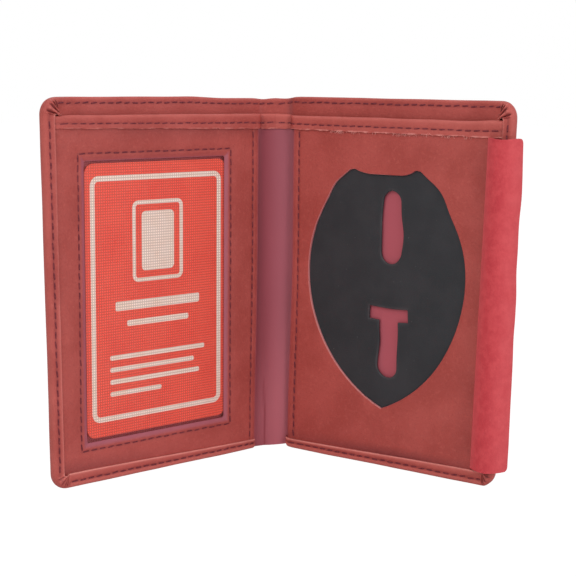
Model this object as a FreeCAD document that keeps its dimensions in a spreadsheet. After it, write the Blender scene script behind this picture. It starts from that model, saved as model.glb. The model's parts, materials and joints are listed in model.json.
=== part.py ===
import FreeCAD, Part
import os
import Sketcher

# Bifold leather wallet for an id card and a badge, standing open on its lower edge.
# Frame: +Z up, the open side faces -Y, the spine runs along Z at the back.
# Origin: middle of the spine's foot, on the line between the two fold axes.
# Each page is drawn flat in its own frame: x away from the fold axis, y up, z towards the
# front, with z = 0 at the middle of the cover leather, and is then turned about its fold.

SIZES = [
    # Whole wallet
    ("cover_height", 119.0, "height of the cover"),
    ("page_width", 82.5, "fold axis to the outer edge of a page"),
    ("spine_width", 11.0, "distance between the two fold axes"),
    ("fold_angle", 38.0, "each page's turn from the flat wallet, degrees"),
    ("corner_radius", 5.0, "outer corners of the cover"),
    ("edge_round", 1.2, "rounding of the turned edges"),
    # Cover leather and its turned edges
    ("cover_thickness", 1.0, "cover leather"),
    ("hem_thickness", 0.7, "skived leather of the turned edge"),
    ("side_hem_width", 3.4, "turned edge on the front, outer side"),
    ("bottom_hem_width", 4.6, "turned edge on the front, lower side"),
    ("top_hem_width", 10.0, "turned edge inside the cover's top"),
    ("top_hem_thickness", 0.4, "skived leather of the top turned edge"),
    ("top_hem_round", 0.25, "rounding of the top edge's front"),
    ("fold_gap", 0.3, "clearance round the spine's rounded edge"),
    ("fold_margin", 2.7, "fold axis to the inner edge of the page layers"),
    ("spine_inset", 0.9, "fold axis to the edge of the spine's inner layers"),
    ("seat_clearance", 0.2, "clearance of the layers inside the turned edge"),
    # Layers of a page, from the cover to the front
    ("foil_thickness", 0.1, "signal shielding foil"),
    ("lining_thickness", 0.2, "cloth linings"),
    ("bill_gap", 0.15, "empty bill compartment"),
    ("pocket_depth", 1.15, "space between the wall lining and the panel"),
    ("panel_thickness", 0.8, "front panel leather"),
    ("lining_drop", 10.5, "cover top to the top of the linings"),
    # Binding along the top of the inner wall
    ("binding_drop", 5.0, "cover top to the binding's top"),
    ("binding_height", 5.0, "binding on the front"),
    ("binding_thickness", 0.6, "binding leather on the front and the top"),
    ("binding_tail", 0.2, "skived binding leather behind the panel"),
    ("binding_round", 0.25, "rounding of the binding's top"),
    ("spine_bill_gap", 0.05, "spine's top hem to the binding's tail"),
    # Window page
    ("window_inner_margin", 14.0, "panel's inner edge to the window"),
    ("window_outer_margin", 8.8, "window to the side hem"),
    ("window_bottom_margin", 13.1, "lower edge of the cover to the window"),
    ("window_top_margin", 8.5, "window to the binding's lower edge"),
    ("window_corner", 0.8, "window corner radius"),
    ("window_bevel", 0.35, "bevel along the window's edge"),
    ("mesh_thickness", 0.2, "clear woven window sheet"),
    ("mesh_margin", 4.0, "window sheet behind the panel, all round"),
    # Card
    ("card_width", 53.98, "card, short side"),
    ("card_length", 85.6, "card, long side"),
    ("card_thickness", 0.76, "card"),
    ("card_corner", 3.18, "card corner radius"),
    ("card_clearance", 0.1, "wall lining to the card"),
    ("card_shift", 0.7, "card's middle from the window's middle, towards the spine"),
    # Badge page
    ("badge_panel_margin", 7.8, "badge panel's free edge to the side hem"),
    ("shield_inner_margin", 6.75, "panel's inner edge to the badge opening"),
    ("shield_outer_margin", 3.55, "badge opening to the panel's free edge"),
    ("shield_bottom_margin", 19.5, "lower edge of the cover to the opening's tip"),
    ("shield_top_margin", 21.9, "cover top to the opening's shoulders"),
    ("shield_shoulder", 11.7, "opening's middle to the top of a shoulder"),
    ("shield_notch", 7.4, "opening's middle to the end of the notch"),
    ("shield_notch_depth", 1.5, "depth of the notch between the shoulders"),
    ("shield_shoulder_round", 1.6, "rounding of the shoulders"),
    ("shield_edge_round", 0.25, "rounding along the badge opening"),
    ("backing_thickness", 0.7, "badge backing leather"),
    ("backing_margin", 4.0, "backing behind the panel, round the opening"),
    ("backing_corner", 6.0, "backing corner radius"),
    ("slot_offset", 2.0, "slots' middle from the opening's middle, outwards"),
    ("upper_slot_width", 7.2, "upper clip slot"),
    ("upper_slot_length", 23.6, "upper clip slot, end to end"),
    ("upper_slot_rise", 4.2, "opening's widest line to the upper slot"),
    ("lower_slot_drop", 9.8, "opening's widest line to the lower slot's top"),
    ("lower_slot_length", 23.2, "lower clip slot, end to end"),
    ("lower_slot_width", 6.8, "stem of the lower clip slot"),
    ("lower_slot_head", 14.4, "head of the lower clip slot, across"),
    ("lower_slot_head_height", 4.2, "head of the lower clip slot"),
    # Suede flap
    ("flap_thickness", 0.8, "suede"),
    ("flap_end_gap", 1.3, "flap to the lower hem and to the binding"),
    ("flap_fold_gap", 0.3, "clearance round the flap's rounded fold"),
    ("flap_fold_rise", 0.1, "fold axis above the front of the flap's root"),
    ("flap_overhang", 1.5, "flap's tip past the page's outer edge"),
    ("flap_tip_drop", 2.1, "flap's tip below the front of the side hem"),
    ("flap_rise", 4.7, "height of the flap's arch over its ends"),
    # Stitching
    ("stitch_length", 2.2, "one visible stitch"),
    ("stitch_pitch", 3.0, "stitch to stitch"),
    ("thread_width", 0.5, "thread"),
    ("thread_height", 0.2, "thread above the leather"),
    ("side_seam", 1.7, "outer edge to the side seam"),
    ("bottom_seam", 2.4, "lower edge to the lower seam"),
    ("top_seam", 1.8, "cover top to the top seam"),
    ("binding_seam", 2.0, "binding's lower edge to its seam"),
    ("window_seam", 2.3, "window to its seam"),
    ("panel_seam", 2.4, "panel's inner edge to its seam"),
    ("seam_start", 3.5, "end of a seam from the corner it runs to"),
]
SHIELD_WIDEST_SHARE = 0.56
OVERRUN = 2.0
TOLERANCE = 1e-4

doc = FreeCAD.newDocument("badge_wallet")
sheet = doc.addObject("Spreadsheet::Sheet", "Sizes")
for row, (alias, number, meaning) in enumerate(SIZES, start=1):
    sheet.set("A%d" % row, alias)
    sheet.set("B%d" % row, str(number))
    sheet.set("C%d" % row, meaning)
    sheet.setAlias("B%d" % row, alias)
doc.recompute()


class Size:
    """A length that knows both its number and its spreadsheet expression."""

    def __init__(self, number, text):
        self.number = number
        self.text = text

    def __add__(self, other):
        return Size(self.number + other.number, "(%s + %s)" % (self.text, other.text))

    def __sub__(self, other):
        return Size(self.number - other.number, "(%s - %s)" % (self.text, other.text))

    def __neg__(self):
        return Size(-self.number, "(0 - %s)" % self.text)

    def __mul__(self, factor):
        if isinstance(factor, Size):
            return Size(self.number * factor.number, "(%s * %s)" % (self.text, factor.text))
        return Size(self.number * factor, "(%s * %r)" % (self.text, factor))

    def __truediv__(self, factor):
        if isinstance(factor, Size):
            return Size(self.number / factor.number, "(%s / %s)" % (self.text, factor.text))
        return Size(self.number / factor, "(%s / %r)" % (self.text, factor))

    def root(self):
        return Size(self.number ** 0.5, "sqrt(%s)" % self.text)


def cell(alias):
    return Size(float(sheet.get(alias)), "Sizes." + alias)


NONE = Size(0.0, "0")
OVER = Size(OVERRUN, repr(OVERRUN))

cover_height = cell("cover_height")
page_width = cell("page_width")
cover_thickness = cell("cover_thickness")
fold_margin = cell("fold_margin")
seat_clearance = cell("seat_clearance")
hem_thickness = cell("hem_thickness")
lining_thickness = cell("lining_thickness")
panel_thickness = cell("panel_thickness")
half_leather = cover_thickness / 2
half_spine = cell("spine_width") / 2

# Levels through a page, measured from the middle of the cover leather
cover_back = -half_leather
cover_front = half_leather
foil_front = cover_front + cell("foil_thickness")
bill_lining_front = foil_front + lining_thickness
wall_back = bill_lining_front + cell("bill_gap")
wall_front = wall_back + lining_thickness
panel_back = wall_front + cell("pocket_depth")
panel_front = panel_back + panel_thickness
hem_front = panel_front + hem_thickness
page_thickness = hem_front - cover_back
spine_tail_back = cover_front + cell("top_hem_thickness") + cell("spine_bill_gap")
spine_lining_back = spine_tail_back + cell("binding_tail")
spine_lining_front = spine_lining_back + lining_thickness

# Distances across a page and heights up it
page_start = half_leather + cell("fold_gap")
layer_end = page_width - cover_thickness - seat_clearance
layer_foot = cover_thickness + seat_clearance
side_hem_edge = page_width - cell("side_hem_width")
lining_top = cover_height - cell("lining_drop")
binding_top = cover_height - cell("binding_drop")
binding_foot = binding_top - cell("binding_height")
panel_top = binding_top - cell("binding_thickness")
layer_corner = cell("corner_radius") - cover_thickness - seat_clearance
top_hem_edge = cover_height - cell("top_hem_width")

window_near = fold_margin + cell("window_inner_margin")
window_far = side_hem_edge - cell("window_outer_margin")
window_low = cell("window_bottom_margin")
window_high = binding_foot - cell("window_top_margin")

badge_panel_end = side_hem_edge - cell("badge_panel_margin")
shield_near = fold_margin + cell("shield_inner_margin")
shield_far = badge_panel_end - cell("shield_outer_margin")
shield_middle = (shield_near + shield_far) / 2
shield_half = (shield_far - shield_near) / 2
shield_tip = cell("shield_bottom_margin")
shield_top = cover_height - cell("shield_top_margin")
shield_widest = shield_tip + (shield_top - shield_tip) * SHIELD_WIDEST_SHARE

RIGHT, LEFT = 1, -1
UPRIGHT = FreeCAD.Rotation(FreeCAD.Vector(1, 0, 0), 90)


def page_frame(side):
    turn = FreeCAD.Rotation(FreeCAD.Vector(0, 0, 1), -side * float(sheet.get("fold_angle")))
    return FreeCAD.Placement(FreeCAD.Vector(side * half_spine.number, 0, 0), turn * UPRIGHT)


SPINE_FRAME = FreeCAD.Placement(FreeCAD.Vector(0, 0, 0), UPRIGHT)
pieces = []


def new_body(label, frame):
    body = doc.addObject("PartDesign::Body", label)
    body.Label = label
    pieces.append((body, frame))
    return body


def new_sketch(body, name, role, level):
    """Sketch on one of the body's own origin planes, moved along that plane's normal."""
    sketch = body.newObject("Sketcher::SketchObject", name)
    plane = [feature for feature in body.Origin.OriginFeatures if feature.Role == role][0]
    sketch.AttachmentSupport = [(plane, "")]
    sketch.MapMode = "FlatFace"
    sketch.AttachmentOffset = FreeCAD.Placement(
        FreeCAD.Vector(0, 0, level.number), FreeCAD.Rotation())
    sketch.setExpression("AttachmentOffset.Base.z", level.text)
    return sketch


def bind(sketch, kind, *args):
    """Add a dimension whose last argument is a Size and tie it to the sheet."""
    size = args[-1]
    index = sketch.addConstraint(Sketcher.Constraint(kind, *args[:-1], size.number))
    name = "%s_%d" % (kind.lower(), index)
    sketch.renameConstraint(index, name)
    sketch.setExpression("Constraints." + name, size.text)


def outline(sketch, corners):
    """Closed outline. A corner is (x, y), or (x, y, middle x, middle y, turn) where the edge
    that leaves it is an arc about that middle; turn is 1 for anticlockwise."""
    first = sketch.GeometryCount
    count = len(corners)
    for index, corner in enumerate(corners):
        target = corners[(index + 1) % count]
        start = FreeCAD.Vector(corner[0].number, corner[1].number, 0)
        end = FreeCAD.Vector(target[0].number, target[1].number, 0)
        if len(corner) == 2:
            sketch.addGeometry(Part.LineSegment(start, end), False)
            continue
        middle = FreeCAD.Vector(corner[2].number, corner[3].number, 0)
        circle = Part.Circle(middle, FreeCAD.Vector(0, 0, 1), middle.distanceToPoint(start))
        ends = (start, end) if corner[4] > 0 else (end, start)
        angles = [circle.parameter(point) for point in ends]
        sketch.addGeometry(Part.ArcOfCircle(circle, *angles), False)
    for index, corner in enumerate(corners):
        edge = first + index
        after = first + (index + 1) % count
        leave = 1 if len(corner) == 2 or corner[4] > 0 else 2
        arrive = 3 - leave
        target = corners[(index + 1) % count]
        meet = 1 if len(target) == 2 or target[4] > 0 else 2
        sketch.addConstraint(Sketcher.Constraint("Coincident", edge, arrive, after, meet))
        bind(sketch, "DistanceX", -1, 1, edge, leave, corner[0])
        bind(sketch, "DistanceY", -1, 1, edge, leave, corner[1])
    for index, corner in enumerate(corners):
        if len(corner) == 2:
            continue
        target = corners[(index + 1) % count]
        across = abs(target[0].number - corner[0].number)
        along = abs(target[1].number - corner[1].number)
        if across >= along:
            bind(sketch, "DistanceY", -1, 1, first + index, 3, corner[3])
        else:
            bind(sketch, "DistanceX", -1, 1, first + index, 3, corner[2])


def rectangle(sketch, left, bottom, right, top):
    outline(sketch, [(left, bottom), (right, bottom), (right, top), (left, top)])


def pad(body, sketch, length, backwards=False):
    feature = body.newObject("PartDesign::Pad", "Pad")
    feature.Profile = sketch
    feature.setExpression("Length", length.text)
    feature.Reversed = backwards
    doc.recompute()
    return feature


def pocket(body, sketch, depth):
    """Cut from the sketch towards the back, and make sure that it cut something."""
    before = body.Shape.Volume
    feature = body.newObject("PartDesign::Pocket", "Pocket")
    feature.Profile = sketch
    feature.setExpression("Length", depth.text)
    doc.recompute()
    if body.Shape.Volume >= before:
        raise RuntimeError("the cut in %s removes nothing" % body.Label)
    return feature


def near(value, size):
    return abs(value - size.number) < TOLERANCE


def within(box, left, right, foot, top):
    across = box.XMin > left.number - TOLERANCE and box.XMax < right.number + TOLERANCE
    return across and box.YMin > foot.number - TOLERANCE and box.YMax < top.number + TOLERANCE


def edges_where(feature, test):
    names = []
    for index, edge in enumerate(feature.Shape.Edges, start=1):
        if test(edge.BoundBox):
            names.append("Edge%d" % index)
    return names


def upright_edges(feature, places):
    """Edges along z that stand at the given (x, y) places."""
    def test(box):
        flat = box.XLength < TOLERANCE and box.YLength < TOLERANCE
        return flat and any(near(box.XMin, x) and near(box.YMin, y) for x, y in places)
    return edges_where(feature, test)


def dress(body, kind, feature, edges, size):
    """Fillet or chamfer of the named edges, limited by nothing but the sheet's size."""
    dressed = body.newObject("PartDesign::" + kind, kind)
    dressed.Base = (feature, edges)
    dressed.setExpression("Radius" if kind == "Fillet" else "Size", size.text)
    doc.recompute()
    return dressed


def sheet_piece(label, side, near_edge, far_edge, foot, top, back, thickness):
    """Flat layer of a page with its outer lower corner rounded to lie inside the turned edge."""
    body = new_body(label, page_frame(side))
    sketch = new_sketch(body, "Outline", "XY_Plane", back)
    rectangle(sketch, near_edge * side, foot, far_edge * side, top)
    base = pad(body, sketch, thickness)
    if far_edge is layer_end:
        corner = upright_edges(base, [(far_edge * side, foot)])
        base = dress(body, "Fillet", base, corner, layer_corner)
    return body, base


# Cover: one skin of leather with its edges turned over the front of the pages

def cover(label, side):
    body = new_body(label, page_frame(side))
    sketch = new_sketch(body, "Outline", "XY_Plane", cover_back)
    rectangle(sketch, page_start * side, NONE, page_width * side, cover_height)
    block = pad(body, sketch, page_thickness)
    places = [(page_width * side, NONE), (page_width * side, cover_height)]
    block = dress(body, "Fillet", block, upright_edges(block, places), cell("corner_radius"))

    def rim(box):
        flat = box.ZLength < TOLERANCE and (near(box.ZMin, cover_back) or near(box.ZMin, hem_front))
        return flat and not (box.XLength < TOLERANCE and near(box.XMin, page_start * side))
    dress(body, "Fillet", block, edges_where(block, rim), cell("edge_round"))

    open_side = (page_start - OVER) * side
    wall = (page_width - cover_thickness) * side
    hem = side_hem_edge * side
    channel = panel_front - cover_front
    roll = cell("corner_radius") - cover_thickness
    inside = new_sketch(body, "Inside", "XY_Plane", panel_front)
    low, high = cover_thickness, cover_height - cover_thickness
    bend = wall - roll * side
    outline(inside, [
        (open_side, low), (bend, low, bend, low + roll, side), (wall, low + roll),
        (wall, high - roll, bend, high - roll, side), (bend, high), (open_side, high)])
    pocket(body, inside, channel)
    front = new_sketch(body, "Front", "XY_Plane", hem_front)
    rectangle(front, open_side, cell("bottom_hem_width"), hem, cover_height + OVER)
    pocket(body, front, hem_thickness)
    mouth = new_sketch(body, "Mouth", "XY_Plane", panel_front)
    rectangle(mouth, open_side, high - OVER, hem, cover_height + OVER)
    pocket(body, mouth, channel)
    fold = new_sketch(body, "Fold", "XY_Plane", hem_front)
    rectangle(fold, open_side, -OVER, fold_margin * side, cover_height + OVER)
    pocket(body, fold, page_thickness - cover_thickness)
    turned = new_sketch(body, "Turned", "XY_Plane", cover_front)
    hem_end = (side_hem_edge - seat_clearance) * side
    rectangle(turned, fold_margin * side, top_hem_edge, hem_end, cover_height)
    top_hem = pad(body, turned, cell("top_hem_thickness"))
    hem_face = cover_front + cell("top_hem_thickness")

    def lip(box):
        level = box.YLength < TOLERANCE and box.ZLength < TOLERANCE
        return level and near(box.YMin, cover_height) and near(box.ZMin, hem_face)
    dress(body, "Fillet", top_hem, edges_where(top_hem, lip), cell("top_hem_round"))


def binding(label, frame, start, length, tail_back, wall_from, wall_to):
    """Leather strip folded over the top edge of the inner wall."""
    body = new_body(label, frame)
    sketch = new_sketch(body, "Section", "YZ_Plane", start)
    front = wall_to + cell("binding_thickness")
    outline(sketch, [
        (binding_foot, wall_to), (binding_foot, front), (binding_top, front),
        (binding_top, tail_back), (binding_foot, tail_back), (binding_foot, wall_from),
        (panel_top, wall_from), (panel_top, wall_to)])
    strip = pad(body, sketch, length)

    def ridge(box):
        level = box.YLength < TOLERANCE and box.ZLength < TOLERANCE
        return level and near(box.YMin, binding_top)
    dress(body, "Fillet", strip, edges_where(strip, ridge), cell("binding_round"))


def page_binding(label, side):
    far = side_hem_edge - seat_clearance
    start = fold_margin if side == RIGHT else -far
    binding(label, page_frame(side), start, far - fold_margin,
            panel_back - cell("binding_tail"), panel_back, panel_front)


def page_lining(prefix, side):
    """Foil, bill compartment lining and inner wall, laid one on the other."""
    sheet_piece(prefix + "_shield_foil", side, fold_margin, layer_end, layer_foot, lining_top,
                cover_front, cell("foil_thickness"))
    sheet_piece(prefix + "_bill_lining", side, fold_margin, layer_end, layer_foot, lining_top,
                foil_front, lining_thickness)
    sheet_piece(prefix + "_wall_lining", side, fold_margin, layer_end, layer_foot, lining_top,
                wall_back, lining_thickness)


# Stitching: rows of thread bars, repeated along each seam

def seam(body, index, start, stop, across, level, upright, outwards=True):
    """One row of stitches. start, stop and across are places in the page's own frame, and
    level is the face that the thread lies on."""
    half = cell("thread_width") / 2
    length = cell("stitch_length")
    base = level if outwards else level - cell("thread_height")
    sketch = new_sketch(body, "Stitch%d" % index, "XY_Plane", base)
    if upright:
        rectangle(sketch, across - half, start, across + half, start + length)
    else:
        rectangle(sketch, start, across - half, start + length, across + half)
    first = pad(body, sketch, cell("thread_height"))
    run = stop - start - length
    row = body.newObject("PartDesign::LinearPattern", "Row%d" % index)
    row.Originals = [first]
    row.Direction = (sketch, ["V_Axis" if upright else "H_Axis"])
    row.Mode = "Spacing"
    row.setExpression("Occurrences", "floor(%s / Sizes.stitch_pitch) + 1" % run.text)
    row.setExpression("Offset", "Sizes.stitch_pitch")
    body.Tip = row
    doc.recompute()


def stitches(label, frame, rows):
    body = new_body(label, frame)
    body.AllowCompound = True
    for index, row in enumerate(rows, start=1):
        seam(body, index, *row)


def span(side, near_place, far_place):
    """Start and stop along x for a level row on either page."""
    return (near_place, far_place) if side == RIGHT else (-far_place, -near_place)


def cover_stitches(prefix, side):
    """Side, lower and top seams of the cover, on the front and through on the back."""
    start = cell("seam_start")
    side_line = (page_width - cell("side_seam")) * side
    low, high = cell("corner_radius"), cover_height - cell("corner_radius")
    along = span(side, fold_margin + start, page_width - cell("corner_radius"))
    above = span(side, fold_margin + start, side_hem_edge - start)
    top_line = cover_height - cell("top_seam")
    top_face = cover_front + cell("top_hem_thickness")
    stitches(prefix + "_hem_stitches", page_frame(side), [
        (low, high, side_line, hem_front, True),
        (*along, cell("bottom_seam"), hem_front, False),
        (low, high, side_line, cover_back, True, False),
        (*along, cell("bottom_seam"), cover_back, False, False)])
    stitches(prefix + "_top_stitches", page_frame(side), [
        (*above, top_line, top_face, False),
        (*above, top_line, cover_back, False, False)])
    binding_line = binding_foot + cell("binding_seam")
    stitches(prefix + "_binding_stitches", page_frame(side), [
        (*above, binding_line, panel_front + cell("binding_thickness"), False)])
    edge_line = (fold_margin + cell("panel_seam")) * side
    stitches(prefix + "_panel_edge_stitches", page_frame(side), [
        (cell("bottom_hem_width"), binding_foot, edge_line, panel_front, True)])


# Spine: the cover between the folds, with its lining and its stretch of the binding

def spine():
    body = new_body("spine_cover", SPINE_FRAME)
    sketch = new_sketch(body, "Section", "XZ_Plane", NONE)
    outline(sketch, [
        (-half_spine, cover_back), (half_spine, cover_back, half_spine, NONE, 1),
        (half_spine, cover_front),
        (-half_spine, cover_front, -half_spine, NONE, 1)])
    pad(body, sketch, cover_height, backwards=True)
    reach = half_spine - cell("spine_inset")
    turned = new_sketch(body, "Turned", "XY_Plane", cover_front)
    rectangle(turned, -reach, top_hem_edge, reach, cover_height)
    pad(body, turned, cell("top_hem_thickness"))
    for label, back, top in (("spine_bill_lining", cover_front, lining_top),
                             ("spine_wall_lining", spine_lining_back, panel_top)):
        layer = new_body(label, SPINE_FRAME)
        flat = new_sketch(layer, "Outline", "XY_Plane", back)
        rectangle(flat, -reach, seat_clearance, reach, top)
        pad(layer, flat, lining_thickness)
    binding("spine_binding", SPINE_FRAME, -reach, reach * 2, spine_tail_back,
            spine_lining_back, spine_lining_front)
    row = (-reach + cell("thread_width"), reach)
    top_line = cover_height - cell("top_seam")
    stitches("spine_top_stitches", SPINE_FRAME, [
        (*row, top_line, cover_front + cell("top_hem_thickness"), False),
        (*row, top_line, cover_back, False, False)])
    stitches("spine_binding_stitches", SPINE_FRAME, [
        (*row, binding_foot + cell("binding_seam"),
         spine_lining_front + cell("binding_thickness"), False)])


# Window page: panel with the card window, its clear woven sheet and the card behind it

def window_page():
    body, panel = sheet_piece("window_panel", LEFT, fold_margin, layer_end, layer_foot,
                              panel_top, panel_back, panel_thickness)
    window = new_sketch(body, "Window", "XY_Plane", panel_front)
    rectangle(window, -window_far, window_low, -window_near, window_high)
    cut = pocket(body, window, panel_thickness)
    corners = [(-x, y) for x in (window_far, window_near) for y in (window_low, window_high)]
    cut = dress(body, "Fillet", cut, upright_edges(cut, corners), cell("window_corner"))

    def window_rim(box):
        level = box.ZLength < TOLERANCE and near(box.ZMin, panel_front)
        return level and within(box, -window_far, -window_near, window_low, window_high)
    dress(body, "Chamfer", cut, edges_where(cut, window_rim), cell("window_bevel"))

    margin = cell("mesh_margin")
    sheet_piece("window_mesh", LEFT, window_near - margin, window_far + margin,
                window_low - margin, window_high + margin,
                panel_back - cell("mesh_thickness"), cell("mesh_thickness"))

    line = cell("window_seam")
    left, right = -window_far - line, -window_near + line
    foot, top = window_low - line, window_high + line
    stitches("window_stitches", page_frame(LEFT), [
        (left, right, top, panel_front, False), (left, right, foot, panel_front, False),
        (foot + line, top, left, panel_front, True), (foot + line, top, right, panel_front, True)])

    middle = -(window_near + window_far) / 2 + cell("card_shift")
    height = (window_low + window_high) / 2
    half_width, half_length = cell("card_width") / 2, cell("card_length") / 2
    card = new_body("id_card", page_frame(LEFT))
    sketch = new_sketch(card, "Outline", "XY_Plane", wall_front + cell("card_clearance"))
    sides = (middle - half_width, middle + half_width)
    ends = (height - half_length, height + half_length)
    rectangle(sketch, sides[0], ends[0], sides[1], ends[1])
    blank = pad(card, sketch, cell("card_thickness"))
    places = [(x, y) for x in sides for y in ends]
    dress(card, "Fillet", blank, upright_edges(blank, places), cell("card_corner"))


# Badge page: panel with the shield opening over a slotted backing

def shield_corners():
    """Shield outline: a shallow notch between two shoulders, then two arcs a side that
    meet upright at the widest line and run down to the tip."""
    shoulder, notch = cell("shield_shoulder"), cell("shield_notch")
    notch_level = shield_top - cell("shield_notch_depth")
    drop, rise = shield_widest - shield_tip, shield_top - shield_widest
    inset = shield_half - shoulder
    low = (shield_half * shield_half + drop * drop) / (shield_half * 2)
    high = (inset * inset + rise * rise) / (inset * 2)
    right, left = shield_middle + shield_half, shield_middle - shield_half
    return [
        (shield_middle, shield_tip, right - low, shield_widest, 1),
        (right, shield_widest, right - high, shield_widest, 1),
        (shield_middle + shoulder, shield_top), (shield_middle + notch, notch_level),
        (shield_middle - notch, notch_level),
        (shield_middle - shoulder, shield_top, left + high, shield_widest, 1),
        (left, shield_widest, left + low, shield_widest, 1)]


def badge_page():
    body, panel = sheet_piece("badge_panel", RIGHT, fold_margin, badge_panel_end, layer_foot,
                              panel_top, panel_back, panel_thickness)
    opening = new_sketch(body, "Shield", "XY_Plane", panel_front)
    outline(opening, shield_corners())
    cut = pocket(body, opening, panel_thickness)
    shoulder = cell("shield_shoulder")
    tops = [(shield_middle + shoulder, shield_top), (shield_middle - shoulder, shield_top)]
    cut = dress(body, "Fillet", cut, upright_edges(cut, tops), cell("shield_shoulder_round"))

    def shield_rim(box):
        level = box.ZLength < TOLERANCE and near(box.ZMin, panel_front)
        return level and within(box, shield_near, shield_far, shield_tip, shield_top)
    dress(body, "Fillet", cut, edges_where(cut, shield_rim), cell("shield_edge_round"))

    margin = cell("backing_margin")
    sides = (shield_near - margin, badge_panel_end - seat_clearance)
    ends = (shield_tip - margin, shield_top + margin)
    thickness = cell("backing_thickness")
    body, backing = sheet_piece("badge_backing", RIGHT, sides[0], sides[1], ends[0], ends[1],
                                panel_back - thickness, thickness)
    places = [(x, y) for x in sides for y in ends]
    dress(body, "Fillet", backing, upright_edges(backing, places), cell("backing_corner"))
    middle = shield_middle + cell("slot_offset")
    half = cell("upper_slot_width") / 2
    low = shield_widest + cell("upper_slot_rise") + half
    high = shield_widest + cell("upper_slot_rise") + cell("upper_slot_length") - half
    upper = new_sketch(body, "UpperSlot", "XY_Plane", panel_back)
    outline(upper, [
        (middle - half, low, middle, low, 1), (middle + half, low),
        (middle + half, high, middle, high, 1), (middle - half, high)])
    pocket(body, upper, thickness)
    half, head = cell("lower_slot_width") / 2, cell("lower_slot_head") / 2
    top = shield_widest - cell("lower_slot_drop")
    neck = top - cell("lower_slot_head_height")
    low = top - cell("lower_slot_length") + half
    lower = new_sketch(body, "LowerSlot", "XY_Plane", panel_back)
    outline(lower, [
        (middle - half, low, middle, low, 1), (middle + half, low), (middle + half, neck),
        (middle + head, neck), (middle + head, top), (middle - head, top),
        (middle - head, neck), (middle - half, neck)])
    pocket(body, lower, thickness)


# Suede flap: its root lies under the side hem, and the flap arches back over the hem

def flap():
    thickness = cell("flap_thickness")
    half = thickness / 2
    foot = cell("bottom_hem_width") + cell("flap_end_gap")
    top = binding_foot - cell("flap_end_gap")
    axis_x = badge_panel_end + cell("flap_fold_gap") + half
    axis_y = panel_front + cell("flap_fold_rise") + half
    root_start = axis_x - half
    sheet_piece("flap_root", RIGHT, root_start, layer_end - seat_clearance, foot, top,
                panel_front - thickness, thickness)

    tip_x = page_width + cell("flap_overhang")
    tip_y = hem_front - cell("flap_tip_drop")
    across, along = tip_x - axis_x, axis_y - tip_y
    chord = (across * across + along * along).root()
    rise = cell("flap_rise")
    radius = (chord * chord / 4 + rise * rise) / (rise * 2)
    middle_x = (axis_x + tip_x) / 2 - along / chord * (radius - rise)
    middle_y = (axis_y + tip_y) / 2 - across / chord * (radius - rise)

    def beside(x, y, offset):
        share = (radius + offset) / radius
        return middle_x + (x - middle_x) * share, middle_y + (y - middle_y) * share
    body = new_body("badge_flap", page_frame(RIGHT))
    sketch = new_sketch(body, "Section", "XZ_Plane", -foot)
    outline(sketch, [
        (*beside(tip_x, tip_y, half), middle_x, middle_y, 1),
        (*beside(axis_x, axis_y, half), axis_x, axis_y, 1),
        (*beside(axis_x, axis_y, -half), middle_x, middle_y, -1),
        (*beside(tip_x, tip_y, -half), tip_x, tip_y, 1)])
    pad(body, sketch, top - foot, backwards=True)
    print("flap fold axis in the page frame", axis_x.number, axis_y.number)


spine()
for prefix, side in (("left", LEFT), ("right", RIGHT)):
    cover(prefix + "_cover", side)
    page_lining(prefix, side)
    page_binding(prefix + "_binding", side)
    cover_stitches(prefix, side)
window_page()
badge_page()
flap()

for body, frame in pieces:
    body.Placement = frame
doc.recompute()

for thing in doc.Objects:
    if "Invalid" in thing.State or "Error" in thing.State:
        raise RuntimeError("%s did not build: %s" % (thing.Label, thing.State))
os.makedirs("parts", exist_ok=True)
for body, frame in pieces:
    if body.Shape.isNull() or not body.Shape.isValid():
        raise RuntimeError("%s has no valid shape" % body.Label)
for body, frame in pieces:
    body.Shape.exportStep(os.path.join("parts", body.Label + ".step"))
print(len(pieces), "pieces written")
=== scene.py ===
# %% [markdown]
# # An open badge wallet
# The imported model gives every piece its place: two leather pages that turn on a narrow spine,
# a card behind a clear window, and a shield-shaped opening over a black backing. The solids
# are plain, so this lesson dresses them: soft turned edges, thread, cloth, suede and print.
# Everything is in metres, in the model's own frame: +Z is up and the open side faces -Y.

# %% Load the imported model
import json
import math
import random

import bmesh
import bpy
from mathutils import Matrix, Vector, noise
from mathutils.kdtree import KDTree


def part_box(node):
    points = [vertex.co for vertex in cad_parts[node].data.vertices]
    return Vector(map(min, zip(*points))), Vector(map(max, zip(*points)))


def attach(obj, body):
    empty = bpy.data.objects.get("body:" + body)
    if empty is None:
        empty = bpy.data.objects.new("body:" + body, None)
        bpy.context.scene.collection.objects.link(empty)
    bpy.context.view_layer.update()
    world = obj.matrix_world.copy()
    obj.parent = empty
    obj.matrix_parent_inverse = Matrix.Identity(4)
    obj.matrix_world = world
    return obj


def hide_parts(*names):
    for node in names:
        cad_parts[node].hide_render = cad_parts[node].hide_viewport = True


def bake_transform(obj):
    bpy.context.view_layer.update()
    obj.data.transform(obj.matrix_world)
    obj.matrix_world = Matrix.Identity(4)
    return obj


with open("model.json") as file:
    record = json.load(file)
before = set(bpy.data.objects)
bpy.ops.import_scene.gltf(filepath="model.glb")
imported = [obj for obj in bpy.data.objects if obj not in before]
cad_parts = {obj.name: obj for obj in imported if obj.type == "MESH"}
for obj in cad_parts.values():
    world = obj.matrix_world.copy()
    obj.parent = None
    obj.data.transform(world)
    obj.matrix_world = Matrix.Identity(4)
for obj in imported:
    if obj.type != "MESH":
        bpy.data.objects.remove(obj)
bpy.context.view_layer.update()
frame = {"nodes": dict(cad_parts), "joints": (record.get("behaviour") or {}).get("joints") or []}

MM = 0.001
RIGHT, LEFT = 1, -1
PAGES = {"left": LEFT, "right": RIGHT}
joints = {joint["name"]: joint for joint in frame["joints"]}

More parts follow.
